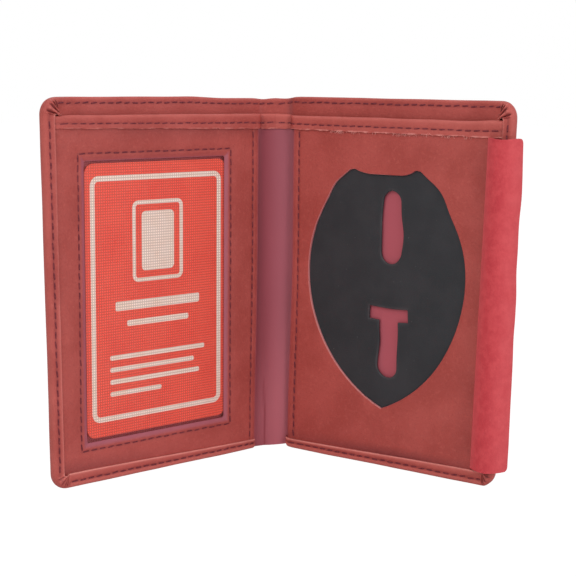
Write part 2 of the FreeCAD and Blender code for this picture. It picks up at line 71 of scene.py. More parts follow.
# %% [markdown]
# ## The flat pattern
# A leather worker cuts and sews a wallet flat and folds it afterwards. The pieces here are made
# the same way. In the flat pattern x runs out from the middle of the spine, y runs up and z
# comes towards the reader; stand_up() then bends each piece round its fold line into the pose
# of the photograph. The meshes are in metres, but the rules that shape them count in
# millimetres, as the leather worker does, and a few helpers convert between the two. The sizes
# are read back from the solids, so that they follow the model.

# %% Sizes of the flat pattern
HALF_SPINE = joints["right_page_fold"]["pos_m"][0] / MM
FOLD = -math.radians(joints["right_page_fold"]["range_deg"][0])


def flatten(point, side):
    """A point of a standing page, back in the flat pattern."""
    x, y = side * point.x - HALF_SPINE, -point.y
    out = x * math.cos(FOLD) + y * math.sin(FOLD)
    front = -x * math.sin(FOLD) + y * math.cos(FOLD)
    return Vector((side * (out + HALF_SPINE), point.z, front))


def flat_points(node, side):
    """The points of a page's solid in the flat pattern, with x measured outwards."""
    points = (flatten(vertex.co / MM, side) for vertex in frame["nodes"][node].data.vertices)
    return [(side * point.x, point.y, point.z) for point in points]


def box_of(points):
    """Lowest and highest corner round some points."""
    rows = list(zip(*points))
    return Vector([min(row) for row in rows]), Vector([max(row) for row in rows])


def flat_box(node, side):
    return box_of(flat_points(node, side))


cover_low, cover_high = flat_box("right_cover", RIGHT)
panel_low, panel_high = flat_box("window_panel", LEFT)
badge_low, badge_high = flat_box("badge_panel", RIGHT)
binding_low, binding_high = flat_box("right_binding", RIGHT)
PAGE_END, HEIGHT = cover_high.x, cover_high.y
COVER_BACK, HEM_FRONT = cover_low.z, cover_high.z
PANEL_BACK, PANEL_FRONT = panel_low.z, panel_high.z
SPINE_HEM = -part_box("spine_cover")[0].y / MM
CORNER = 5.0
SIDE_HEM, TOP_HEM = 3.4, 10.0
print("page reaches", round(PAGE_END, 2), "mm from the middle, height", round(HEIGHT, 2))

# %% Fold a flat piece into its standing pose
FOLD_BEND = 3.0
EDGE_SPLAY = {LEFT: (0.0, 1.9), RIGHT: (-2.6, 0.7)}
SPLAY_FROM, SPLAY_TO = 74, 81
TOP_RISE, TOP_DIP, TOP_REACH = 0.7, 0.6, 8
FOOT_LEAN = {LEFT: 0.9, RIGHT: -1.5}
LEAN_REACH = 70
FOOT_LIFT, LIFT_REACH = 0.9, 12


def clamp(value):
    """Keep a value from 0 to 1."""
    return min(max(value, 0.0), 1.0)


def ramp(value, start, stop):
    """0 before start, 1 after stop, and a smooth rise between them."""
    share = clamp((value - start) / (stop - start))
    return share * share * (3 - 2 * share)


def relief(piece, rule):
    """Move every point by a rule in millimetres, as a soft brush would."""
    for vertex in piece.data.vertices:
        vertex.co = rule(vertex.co / MM) * MM
    piece.data.update()


def stand_up(piece, splay=True):
    """Bend a flat piece round the fold line of its side and stand it in the model's frame.

    The real pages aren't quite straight: their outer edges splay, their feet lean by the folds,
    the spine's foot is lifted on one side and the top edge dips by the spine.
    """
    half = FOLD_BEND / 2
    radius = half / math.tan(FOLD / 2)

    def stand(point):
        side = LEFT if point.x < 0 else RIGHT
        run = side * point.x - HALF_SPINE
        if splay:
            at_foot, at_top = EDGE_SPLAY[side]
            shift = at_foot + (at_top - at_foot) * point.y / HEIGHT
            run += shift * ramp(run, SPLAY_FROM, SPLAY_TO)
        by_fold = ramp(run, -1.5, 2.7) * (1 - ramp(run, 3.5, 9))
        lift = clamp((point.x / HALF_SPINE + 1) / 2) * (1 - ramp(run, -0.5, 4))
        dip = ramp(point.x, -36, -20) * (1 - ramp(point.x, 1, 7))
        up = point.y + FOOT_LIFT * lift * (1 - ramp(point.y, 0, LIFT_REACH))
        up += (TOP_RISE - TOP_DIP * dip) * ramp(point.y, HEIGHT - TOP_REACH, HEIGHT)
        run += FOOT_LEAN[side] * by_fold * (1 - ramp(point.y, 0, LEAN_REACH))
        turn = FOLD * clamp((run + half) / FOLD_BEND)
        x, y = HALF_SPINE + run, 0.0
        if run >= half:
            x, y = HALF_SPINE + run * math.cos(FOLD), -run * math.sin(FOLD)
        elif run > -half:
            x = HALF_SPINE - half + radius * math.sin(turn)
            y = -radius * (1 - math.cos(turn))
        return Vector((side * (x - point.z * math.sin(turn)), y - point.z * math.cos(turn), up))
    relief(piece, stand)


print("pages are folded forward by", round(math.degrees(FOLD), 1), "degrees")

# %% [markdown]
# ## Working by hand, in code
# Every operator acts on what is selected, so each helper first clears the selection and then
# picks pieces or edges by their place, as a hand would with the mouse. A piece starts as
# a primitive at its real size, gets its cuts and folds in edit mode, and is finished by
# modifiers that are applied at once.

# %% Select, open and move edges
def clear_selection():
    if bpy.context.object and bpy.context.object.mode != "OBJECT":
        bpy.ops.object.mode_set(mode="OBJECT")
    bpy.ops.object.select_all(action="DESELECT")


def select(*pieces):
    """Select these pieces alone, with the first one active."""
    clear_selection()
    for piece in pieces:
        piece.select_set(True)
    bpy.context.view_layer.objects.active = pieces[0]


def edit(piece):
    """Open a piece in edit mode with everything selected."""
    select(piece)
    bpy.ops.object.mode_set(mode="EDIT")
    bpy.ops.mesh.select_all(action="SELECT")


def finish_edit():
    bpy.ops.object.mode_set(mode="OBJECT")


def pick_rim(piece, test):
    """In edit mode, select the open edges whose middle passes the test."""
    bpy.ops.mesh.select_mode(type="EDGE")
    bpy.ops.mesh.select_all(action="DESELECT")
    shape = bmesh.from_edit_mesh(piece.data)
    for edge in shape.edges:
        edge.select = edge.is_boundary and test((edge.verts[0].co + edge.verts[1].co) / 2 / MM)
    shape.select_flush_mode()
    bmesh.update_edit_mesh(piece.data)


def move_rim(piece, rule, extrude=True):
    """Extrude the selected edges, unless told not to, and place their points by a rule."""
    if extrude:
        bpy.ops.mesh.extrude_region_move()
    shape = bmesh.from_edit_mesh(piece.data)
    for vertex in shape.verts:
        if vertex.select:
            vertex.co = rule(vertex.co / MM) * MM
    bmesh.update_edit_mesh(piece.data)


# %% Cut, turn, thicken and join
def cut(x_places, y_places):
    """In edit mode, cut the whole piece along lines at places along x and then along y."""
    lines = [((1, 0, 0), x) for x in x_places] + [((0, 1, 0), y) for y in y_places]
    for way, place in lines:
        bpy.ops.mesh.select_all(action="SELECT")
        bpy.ops.mesh.bisect(plane_co=Vector(way) * place * MM, plane_no=way)


def flip(piece):
    """Turn all faces of a piece round."""
    edit(piece)
    bpy.ops.mesh.flip_normals()
    finish_edit()


def turn_faces(piece, way=1, test=lambda level: True):
    """Turn the faces round if those at the tested levels look against the way along z."""
    looks = sum(face.normal.z * face.area for face in piece.data.polygons
                if test(face.center.z / MM))
    if looks * way < 0:
        flip(piece)


def use_modifier(piece, kind, **settings):
    """Add a modifier, set it and apply it."""
    select(piece)
    modifier = piece.modifiers.new(kind.lower(), kind)
    for name, value in settings.items():
        setattr(modifier, name, value)
    bpy.ops.object.modifier_apply(modifier=modifier.name)


def thicken(piece, depth):
    """Give a sheet that faces the reader a thickness towards its back."""
    turn_faces(piece)
    use_modifier(piece, "SOLIDIFY", thickness=depth * MM, offset=-1)


def join(pieces, name):
    """Join pieces into the first one and name it."""
    select(*pieces)
    if len(pieces) > 1:
        bpy.ops.object.join()
    pieces[0].name = pieces[0].data.name = name
    return pieces[0]


# %% Sheets and copies
def even(start, stop, step):
    """Places from start to stop, as near to the step as fits evenly."""
    count = max(1, round((stop - start) / step))
    return [start + (stop - start) * index / count for index in range(count + 1)]


def gather(*lists, least=0.2):
    """All places of several lists in order, without near doubles."""
    kept = []
    for place in sorted(place for group in lists for place in group):
        if not kept or place - kept[-1] > least:
            kept.append(place)
    return kept


def fine_round(place, reach=2.8, step=0.35):
    """Closely set places on both sides of a place."""
    return even(place - reach, place + reach, step)


def flat_sheet(name, side, x_places, y_places, level):
    """A flat sheet between the first and last places each way, cut at every place between."""
    clear_selection()
    width, height = x_places[-1] - x_places[0], y_places[-1] - y_places[0]
    middle = (side * (x_places[0] + width / 2), y_places[0] + height / 2, level)
    bpy.ops.mesh.primitive_plane_add(size=1, location=Vector(middle) * MM)
    piece = bpy.context.object
    piece.name = piece.data.name = name
    piece.scale = (width * MM, height * MM, 1)
    bpy.ops.object.transform_apply(location=True, rotation=True, scale=True)
    edit(piece)
    cut([side * x for x in x_places[1:-1]], y_places[1:-1])
    finish_edit()
    return piece


def new_piece(name, mesh):
    """A new object with its own copy of a mesh."""
    piece = bpy.data.objects.new(name, mesh.copy())
    bpy.context.collection.objects.link(piece)
    return piece


# %% Paint and soft shapes
def paint(piece, **layers):
    """Painted layers from 0 to 1 that the finishes read, such as worn edges or creases."""
    for layer, rule in layers.items():
        values = piece.data.attributes.new(layer, "FLOAT", "POINT")
        for vertex in piece.data.vertices:
            values.data[vertex.index].value = clamp(rule(vertex.co / MM))


def hump(distance, width):
    """1 at no distance, falling off smoothly over the width."""
    return math.exp(-(distance / width) ** 2)


def wobble(point, size, seed=0.0):
    """Soft unevenness from -1 to 1, in waves of about the given size."""
    return noise.noise(Vector(point) / size + Vector((seed, seed * 1.7, seed * 2.3)))


def round_corners(point, end, bends):
    """Pull the corners of a sheet, past the end along x and the bends along y, onto arcs."""
    for bend, way in zip(bends, (-1, 1)):
        across, along = point.x - end, way * (point.y - bend)
        if across > 0 and along > 0:
            out = Vector((across, along)).normalized() * max(across, along)
            return Vector((end + out.x, bend + way * out.y, point.z))
    return point


# %% [markdown]
# ## Finishes
# The leather is a satin red with a fine grain, clouds of slightly browner colour and pale worn
# edges. Each finish reads the piece's own place in metres, so the grain has its real size, and
# the painted layers say where an edge is worn or carries a painted highlight, where painted shade
# darkens a seam, fold or pleat, and where a cut edge shows.

# %% Helpers for finishes
def linear(*colour):
    """A colour as seen on screen, from 0 to 255, as the shader wants it."""
    def channel(value):
        share = value / 255
        return share / 12.92 if share <= 0.04045 else ((share + 0.055) / 1.055) ** 2.4
    return (*map(channel, colour), 1.0)


def feed(tree, node, values):
    """Give a node's inputs their values: another node's output is linked, a number is set."""
    for name, value in values.items():
        if isinstance(value, bpy.types.NodeSocket):
            tree.links.new(value, node.inputs[name])
        else:
            node.inputs[name].default_value = value


def add_node(tree, kind, values, **settings):
    """Add a shader node, set it, feed it and hand back its outputs."""
    node = tree.nodes.new("ShaderNode" + kind)
    for name, value in settings.items():
        setattr(node, name, value)
    feed(tree, node, values)
    return node.outputs


class Finish:
    """A material and short ways to add the nodes of its look, with sizes in millimetres."""

    def __init__(self, name, roughness, specular):
        self.material = bpy.data.materials.new(name)
        self.material.use_nodes = True
        self.tree = self.material.node_tree
        self.shader = self.tree.nodes["Principled BSDF"]
        feed(self.tree, self.shader, {"Roughness": roughness, "Specular IOR Level": specular})
        self.place = self.add("TexCoord", {})["Object"]

    def add(self, kind, values, **settings):
        return add_node(self.tree, kind, values, **settings)

    def made(self, values):
        """Feed the surface and hand back the finished material."""
        feed(self.tree, self.shader, values)
        return self.material

    def clouds(self, size, detail=4.0, rough=0.55, place=None):
        values = {"Vector": place or self.place, "Scale": 1 / (size * MM)}
        return self.add("TexNoise", {**values, "Detail": detail, "Roughness": rough})["Fac"]

    def pebbles(self, size):
        values = {"Vector": self.place, "Scale": 1 / (size * MM)}
        return self.add("TexVoronoi", values, feature="F1")["Distance"]

    def layer(self, name):
        return self.add("Attribute", {}, attribute_name=name)["Fac"]

    def span(self, value, low, high, out_low=0.0, out_high=1.0):
        """A value from low to high, spread smoothly over another range."""
        values = {"Value": value, "From Min": low, "From Max": high,
                  "To Min": out_low, "To Max": out_high}
        return self.add("MapRange", values, interpolation_type="SMOOTHSTEP")["Result"]

    def sums(self, kind, first, second):
        return self.add("Math", {0: first, 1: second}, operation=kind)["Value"]

    def blend(self, share, first, second):
        return self.add("Mix", {0: share, 6: first, 7: second}, data_type="RGBA")[2]

    def base(self, clouds, low, high, first, second):
        """Two shades in clouds."""
        return self.blend(self.span(clouds, low, high), linear(*first), linear(*second))

    def coat(self, skin, share, colour, most=None):
        """A colour over what is there, by a share that may be weakened."""
        if most:
            share = self.sums("MULTIPLY", share, most)
        return self.blend(share, skin, linear(*colour))

    def bump(self, height, depth, strength):
        values = {"Height": height, "Distance": depth * MM, "Strength": strength}
        return self.add("Bump", values)["Normal"]

    def mixed_surface(self, share, first, second):
        """Show a mix of two shaders instead of the plain surface."""
        both = self.add("MixShader", {0: share, 1: first, 2: second})[0]
        feed(self.tree, self.tree.nodes["Material Output"], {"Surface": both})


# %% Leather, lining, suede, backing and thread
def leather_finish():
    finish = Finish("red_leather", 0.56, 0.32)
    skin = finish.base(finish.clouds(14), 0.36, 0.66, (170, 76, 70), (158, 66, 60))
    specks = finish.span(finish.clouds(1.1, 4, 0.65), 0.5, 0.74)
    pores = finish.span(finish.pebbles(0.9), 0.12, 0.4, 0.2, 0.0)
    skin = finish.coat(skin, specks, (192, 98, 88), 0.3)
    skin = finish.coat(skin, pores, (128, 50, 48))
    # pale colour of worn edges, and painted highlights on lit hem faces, pleat crests and the right
    # binding
    skin = finish.coat(skin, finish.layer("worn"), (200, 106, 98), 0.75)
    # painted shade: a dark colour in seams, folds, pleat valleys and beside hems and bindings
    skin = finish.coat(skin, finish.layer("crease"), (92, 38, 44), 0.8)
    skin = finish.coat(skin, finish.layer("raw"), (226, 150, 142))
    skin = finish.coat(skin, finish.layer("mauve"), (158, 88, 104))
    satin = finish.span(finish.clouds(3), 0.3, 0.7, 0.5, 0.66)
    grain = finish.sums("ADD", finish.clouds(0.5, 3, 0.6), finish.pebbles(0.75))
    return finish.made({"Base Color": skin, "Roughness": satin,
                        "Normal": finish.bump(grain, 0.09, 0.55)})


def lining_finish():
    finish = Finish("mauve_lining", 0.5, 0.3)
    upright = finish.add("Mapping", {"Vector": finish.place, "Scale": (1, 1, 0.2)})["Vector"]
    cloth = finish.clouds(9, 3, 0.5, upright)
    shade = finish.base(cloth, 0.35, 0.7, (156, 79, 92), (148, 75, 87))
    # painted light: a paler mauve on the foot of the spine's cloth
    shade = finish.coat(shade, finish.layer("mauve"), (178, 96, 108))
    # painted shade: darker cloth by the left fold and along its crease
    shade = finish.coat(shade, finish.layer("crease"), (126, 34, 47), 0.9)
    shade = finish.coat(shade, finish.layer("pink"), (168, 79, 91))
    return finish.made({"Base Color": shade, "Sheen Weight": 0.15,
                        "Normal": finish.bump(finish.clouds(0.35, 2), 0.03, 0.4)})


def suede_finish():
    finish = Finish("raspberry_suede", 0.95, 0.08)
    skin = finish.base(finish.clouds(2.6, 6, 0.7), 0.36, 0.66, (186, 63, 71), (198, 75, 81))
    fleck = finish.span(finish.clouds(0.7, 3, 0.7), 0.55, 0.8)
    skin = finish.coat(skin, fleck, (208, 94, 98), 0.45)
    # pale wear towards the tip, and painted light over the root
    skin = finish.coat(skin, finish.layer("worn"), (206, 94, 98), 0.6)
    nap = finish.bump(finish.clouds(0.45, 4, 0.7), 0.16, 0.7)
    return finish.made({"Base Color": skin, "Normal": nap, "Sheen Weight": 0.2,
                        "Sheen Roughness": 0.6, "Sheen Tint": linear(235, 140, 140)})


def backing_finish():
    finish = Finish("black_backing", 0.62, 0.3)
    skin = finish.base(finish.clouds(11), 0.35, 0.7, (38, 41, 45), (45, 47, 51))
    dust = finish.span(finish.clouds(0.9, 2, 0.5), 0.74, 0.8)
    skin = finish.coat(skin, dust, (110, 106, 108), 0.35)
    skin = finish.coat(skin, finish.layer("worn"), (104, 98, 102), 0.5)
    grain = finish.sums("ADD", finish.clouds(0.4, 3), finish.pebbles(0.6))
    return finish.made({"Base Color": skin, "Normal": finish.bump(grain, 0.05, 0.4)})


def plain_finish(name, roughness, specular, clouds, shades, top=0.7, grain=None):
    """Two shades in clouds and, where given, a grain of some size, depth and strength."""
    finish = Finish(name, roughness, specular)
    values = {"Base Color": finish.base(finish.clouds(*clouds), 0.35, top, *shades)}
    if grain:
        size, depth, strength = grain
        values["Normal"] = finish.bump(finish.clouds(size, 2), depth, strength)
    return finish.made(values)


LEATHER, LINING = leather_finish(), lining_finish()
SUEDE, BACKING = suede_finish(), backing_finish()
THREAD = plain_finish("plum_thread", 0.6, 0.25, (0.6, 2), ((96, 34, 46), (124, 50, 58)),
                      grain=(0.18, 0.05, 0.6))
print("finishes:", [finish.name for finish in (LEATHER, LINING, SUEDE, BACKING, THREAD)])


def cross_fold(piece):
    """Bake a piece's place into its mesh and leave it on no body."""
    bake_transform(piece)


def half_of(kind, label):
    """The solids that half of a piece stands for; the right half takes the spine's as well."""
    return [label + kind] + (["spine" + kind] if label == "right" else [])


def fit(piece, material, nodes=(), body=None, degrees=None, splay=True):
    """Stand a piece up, dress it, hide the solids it stands for and attach it to the body it rides
    on.

    A page's label in place of a body means that the piece spans that page's fold and is attached to
    no body.
    """
    stand_up(piece, splay)
    if degrees:
        select(piece)
        bpy.ops.object.shade_smooth_by_angle(angle=math.radians(degrees))
    piece.data.materials.clear()
    piece.data.materials.append(material)
    if nodes:
        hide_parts(*nodes)
    if body in PAGES:
        cross_fold(piece)
    elif body:
        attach(piece, body)
    print(piece.name, len(piece.data.polygons), "faces")


# %% [markdown]
# ## Cover
# The cover is one skin of leather. Its edge is turned over the front of the pages and sewn
# down, and at each round corner the turned edge is gathered into small pleats. A solid with
# bevelled edges would look moulded, so the skin is folded as the maker folds it: the edge of a
# flat sheet is extruded round a soft roll and back over the front. The cover has to bend at
# both folds, so it is made in two halves that meet in the middle of the spine.

# %% Where the edge of the cover runs
BEND_X = PAGE_END - CORNER
LOW_BEND, HIGH_BEND = CORNER, HEIGHT - CORNER
COVER_FRONT = COVER_BACK + 1.0


def edge_at(x, y):
    """Nearest point of the cover's edge, the way inwards there, and the corner angle or None."""
    if x <= BEND_X:
        if y > HEIGHT / 2:
            return Vector((x, HEIGHT)), Vector((0, -1)), None
        return Vector((x, 0)), Vector((0, 1)), None
    if LOW_BEND <= y <= HIGH_BEND:
        return Vector((PAGE_END, y)), Vector((-1, 0)), None
    middle = Vector((BEND_X, LOW_BEND if y < LOW_BEND else HIGH_BEND))
    out = Vector((x, y)) - middle
    out = out.normalized() if out.length > 0 else Vector((1, 0))
    return middle + out * CORNER, -out, math.atan2(abs(out.y), out.x)


def foot_hem(x):
    """The lower hem is sewn by eye and grows wider away from the spine."""
    return 3.6 + 1.3 * ramp(x, HALF_SPINE, BEND_X)


def edge_sizes(base, corner):
    """Front level of the turned edge and how far it lies over the front, at a point of the edge."""
    if base.y < HEIGHT / 2:
        level = COVER_FRONT + (HEM_FRONT - COVER_FRONT) * ramp(base.x - HALF_SPINE, 1.9, 2.9)
        width = foot_hem(base.x)
        if corner is not None:
            width = SIDE_HEM + (width - SIDE_HEM) * ramp(corner, 0.0, math.pi / 2)
        elif base.x > BEND_X:
            width = SIDE_HEM
        return level, width
    if base.x > BEND_X and corner is None:
        return HEM_FRONT, SIDE_HEM
    if corner is not None:
        share = 0.5 * ramp(corner, 0.25 * math.pi, 0.5 * math.pi)
        width = SIDE_HEM + (CORNER - 0.15 - SIDE_HEM) * ramp(corner, 0.1, 0.7)
    else:
        share = 0.5 + 0.5 * ramp(BEND_X - base.x, 0.0, 5.0)
        width = CORNER + (TOP_HEM - CORNER) * ramp(BEND_X - base.x, -0.5, 1.5)
    return HEM_FRONT + (SPINE_HEM - HEM_FRONT) * share, width


def edge_facts(point):
    """Edge point, way inwards and corner angle by a point, its inset, and the hem's sizes."""
    base, inwards, corner = edge_at(abs(point.x), point.y)
    inset = (Vector((abs(point.x), point.y)) - base).length
    return base, inwards, corner, inset, *edge_sizes(base, corner)


print("foot hem", foot_hem(HALF_SPINE), "to", foot_hem(BEND_X), "mm wide")

# %% Pleats and seams of the cover
SEAM_SIDE, SEAM_FOOT, SEAM_TOP = 1.8, 2.35, 1.8
PLEATS = 5
PLEAT_DEPTH, LOW_PLEAT_DEPTH = 0.5, 0.2
PLEAT_FADE = 0.2


def seam_inset(base):
    """How far in from the edge the seam runs."""
    if base.x > BEND_X:
        return SEAM_SIDE
    return SEAM_FOOT if base.y < HEIGHT / 2 else SEAM_TOP


def pleat_wave(corner):
    """Height of the gathered folds round a corner, from -1 to 1, unevenly spaced."""
    fade = ramp(corner, 0, PLEAT_FADE) * ramp(math.pi / 2 - corner, 0, PLEAT_FADE)
    return fade * math.cos((corner + 0.12 * math.sin(5 * corner)) * 4 * PLEATS)


def soften_cover(point):
    """Sink the seams, raise the pleats and take the last flatness out of the leather."""
    base, inwards, corner, inset, level, width = edge_facts(point)
    front = ramp(point.z, 0.3, level)
    on_hem = front * ramp(width + 0.6 - inset, 0, 0.3)
    seam = hump(inset - seam_inset(base), 0.55) * on_hem
    drop = 0.16 * seam
    if corner is not None:
        depth = PLEAT_DEPTH if base.y > HEIGHT / 2 else LOW_PLEAT_DEPTH
        drop = 0.05 * seam - depth * pleat_wave(corner) * ramp(inset, 0.2, 1.4) * front
    run = point.x - HALF_SPINE
    drop += 0.15 * ramp(point.y, HEIGHT - 12, HEIGHT - 6) * on_hem * hump(run + 0.3, 1.4)
    point.y -= 0.35 * ramp(point.y, HEIGHT - 4, HEIGHT) * hump(run + 1.0, 2.5)
    rise = 0.1 * wobble(point, 7) * on_hem
    sway = 0.12 * wobble(point, 16, 3.0) * ramp(2.0 - inset, 0, 2.0)
    point.z += rise - drop
    point.x += inwards.x * sway
    point.y = max(point.y + inwards.y * max(sway, -inset), 0.0)
    return point


def reach_in(point):
    """The right page's lower hem starts a little before its panel does."""
    run = point.x - HALF_SPINE
    on_hem = ramp(point.z, 0.9, 2.0) * (1 - ramp(point.y, 4.4, 5.4))
    point.x -= 2.6 * on_hem * (1 - ramp(run, 3, 12))
    return point


print(PLEATS, "pleats gather the turned edge at each corner")


# %% Wear of the cover
def paint_cover(cover, side):
    """Paint where the leather is rubbed pale or lit by painted highlights, darkened by painted
    shade in seams, folds and pleats, or cut.
    """
    def gathered(corner, inset):
        return pleat_wave(corner) * ramp(inset, 0.5, 1.4)

    # Rubbed pale edges of the roll and the lip, and painted highlights on the lower hem, its roll,
    # the pleat crests and a lower corner.
    def worn(point):
        base, _, corner, inset, level, width = edge_facts(point)
        at_foot = base.y < HEIGHT / 2
        front = ramp(point.z, 0.2, 0.6 * level)
        rim = hump(inset - 0.35, 0.6) * ramp(point.z, 0, level)
        lip = hump(inset - width + 0.35, 0.35) * ramp(point.z, level - 0.6, level)
        shade = (0.55 * rim + 0.35 * lip) * (0.6 + 0.4 * wobble(point, 5))
        # painted highlight on the face of the lower hem, stronger on the right page
        if at_foot and inset < width:
            face = ramp(inset, seam_inset(base), width) * ramp(point.z, level - 0.4, level)
            shade += (0.8 if side == RIGHT else 0.55) * face
        # painted highlight on the lower roll, which faces down
        if at_foot and base.x <= BEND_X:
            shade += 0.95 * front * (1 - ramp(inset, 0.6 * SEAM_FOOT, SEAM_FOOT))
        # painted highlight on the pleat crests
        if corner is not None and inset < width + 0.2:
            shade += 0.8 * front * ramp(gathered(corner, inset), 0.1, 0.9)
            # painted highlight on the lower left corner
            if at_foot and side == LEFT:
                shade += 0.5 * front * hump(inset - width + 0.8, 1.2)
        return shade

    # Painted shade in the seam groove, down the top hem by the fold and in the pleat valleys.
    def crease(point):
        base, _, corner, inset, level, width = edge_facts(point)
        front = ramp(point.z, level - 0.8, level - 0.1)
        shade = 0.38 * hump(inset - seam_inset(base), 0.4) * front
        # painted shade by the fold, darker on the right page
        if point.y > HEIGHT - 11:
            depth = 0.55 if side == RIGHT else 0.12
            shade = max(shade, depth * front * hump(abs(point.x) - HALF_SPINE + 0.3, 1.3))
        if corner is None or inset > width + 0.2:
            return shade
        depth = 0.9 if base.y > HEIGHT / 2 or side == RIGHT else 0.5
        depth *= ramp(point.z, 0.2, 0.6 * level)
        return max(shade, depth * ramp(-gathered(corner, inset), 0.05, 0.8))

    def raw(point):
        base, _, corner, inset, level, width = edge_facts(point)
        if base.y > HEIGHT / 2 and base.x <= BEND_X:
            return 0.0
        shown = hump(inset - width, 0.3) * ramp(point.z, level - 0.9, level - 0.2)
        at_side = base.x > BEND_X and corner is None
        return shown * (0.75 + 0.35 * wobble(point, 4, 5.0)) * (0.3 if at_side else 1.0)
    paint(cover, worn=worn, crease=crease, raw=raw)


# %% Fold the edge of the cover
ROLL = 1.5
ROLL_STEPS = 6
HEM_THICK, COVER_THICK = 0.7, 0.45
HEM_SHARES = (0.12, 0.28, 0.44, 0.6, 0.76, 0.9, 0.97)
EDGE_STEPS = ROLL_STEPS + 1 + len(HEM_SHARES) + 2


def turn_edge(point, step):
    """Where a point of the rim lies at a step of the turned edge, from the back to the front."""
    base, inwards, corner = edge_at(point.x, point.y)
    level, width = edge_sizes(base, corner)
    half = (level - COVER_BACK) / 2
    roll = min(ROLL, half)
    angles = [math.pi * index / ROLL_STEPS for index in range(ROLL_STEPS + 1)]
    steps = [(roll * (1 - math.sin(angle)), COVER_BACK + half * (1 - math.cos(angle)))
             for angle in angles]
    steps += [(roll + (width - roll) * share, level) for share in HEM_SHARES]
    thick = min(HEM_THICK, level - COVER_BACK - 0.5)
    steps += [(width, level - 0.12), (width, level - thick)]
    inset, height = steps[step]
    spot = base + inwards * inset
    return Vector((spot.x, spot.y, height))


def cover_half(label, side):
    """Half of the cover: a flat sheet whose edge is turned, softened, painted with wear, highlights
    and shade, and mirrored.
    """
    x_places = gather([0.0, 2.0], even(HALF_SPINE - 3, HALF_SPINE + 4.5, 0.5),
                      even(HALF_SPINE + 6, BEND_X, 4), even(BEND_X, PAGE_END - ROLL, 0.5))
    y_places = gather(even(ROLL, LOW_BEND, 0.5), even(LOW_BEND, HIGH_BEND, 4),
                      even(HIGH_BEND, HEIGHT - ROLL, 0.5))
    cover = flat_sheet(label + "_cover_leather", RIGHT, x_places, y_places, COVER_BACK)
    relief(cover, lambda point: round_corners(point, BEND_X, (LOW_BEND, HIGH_BEND)))
    edit(cover)
    pick_rim(cover, lambda middle: middle.x > 0.1)
    for step in range(EDGE_STEPS):
        move_rim(cover, lambda point: turn_edge(point, step), extrude=step > 0)
    bpy.ops.mesh.select_all(action="SELECT")
    bpy.ops.mesh.remove_doubles(threshold=0.02 * MM)
    bpy.ops.mesh.normals_make_consistent(inside=False)
    finish_edit()
    turn_faces(cover, -1, lambda level: level < 0)
    use_modifier(cover, "SUBSURF", levels=1, render_levels=1)
    relief(cover, soften_cover)
    use_modifier(cover, "SOLIDIFY", thickness=COVER_THICK * MM, offset=-1)
    paint_cover(cover, side)
    if side == RIGHT:
        relief(cover, reach_in)
    else:
        relief(cover, lambda point: Vector((-point.x, point.y, point.z)))
        flip(cover)
    fit(cover, LEATHER, half_of("_cover", label), label, 60)


for label, side in PAGES.items():
    cover_half(label, side)

# %% [markdown]
# ## Linings
# Two layers of thin satin line the wallet: one against the cover, one behind the pages, with a
# slot for bills between them. Cloth this thin could be simulated, but it is sewn down on every
# side and only the strip over the spine is free, so a finely cut sheet with a gentle billow and
# one crease by the fold is enough. Like the cover, each layer is made in two halves.

# %% Lining halves
CORNER_ROOM = CORNER - 1.3
LINING_THICK = 0.18


def inside_corner(point):
    """Keep a layer inside the cover's round corner at the foot."""
    across, along = abs(point.x) - BEND_X, LOW_BEND - point.y
    length = math.hypot(across, along)
    if across > 0 and along > 0 and length > CORNER_ROOM:
        point.x = math.copysign(BEND_X + across * CORNER_ROOM / length, point.x)
        point.y = LOW_BEND - along * CORNER_ROOM / length
    return point


def from_crease(point):
    """How far a point is from the crease that runs down the cloth by the left fold."""
    return point.x + 3.1 + 0.5 * wobble((0, point.y, 0), 14)


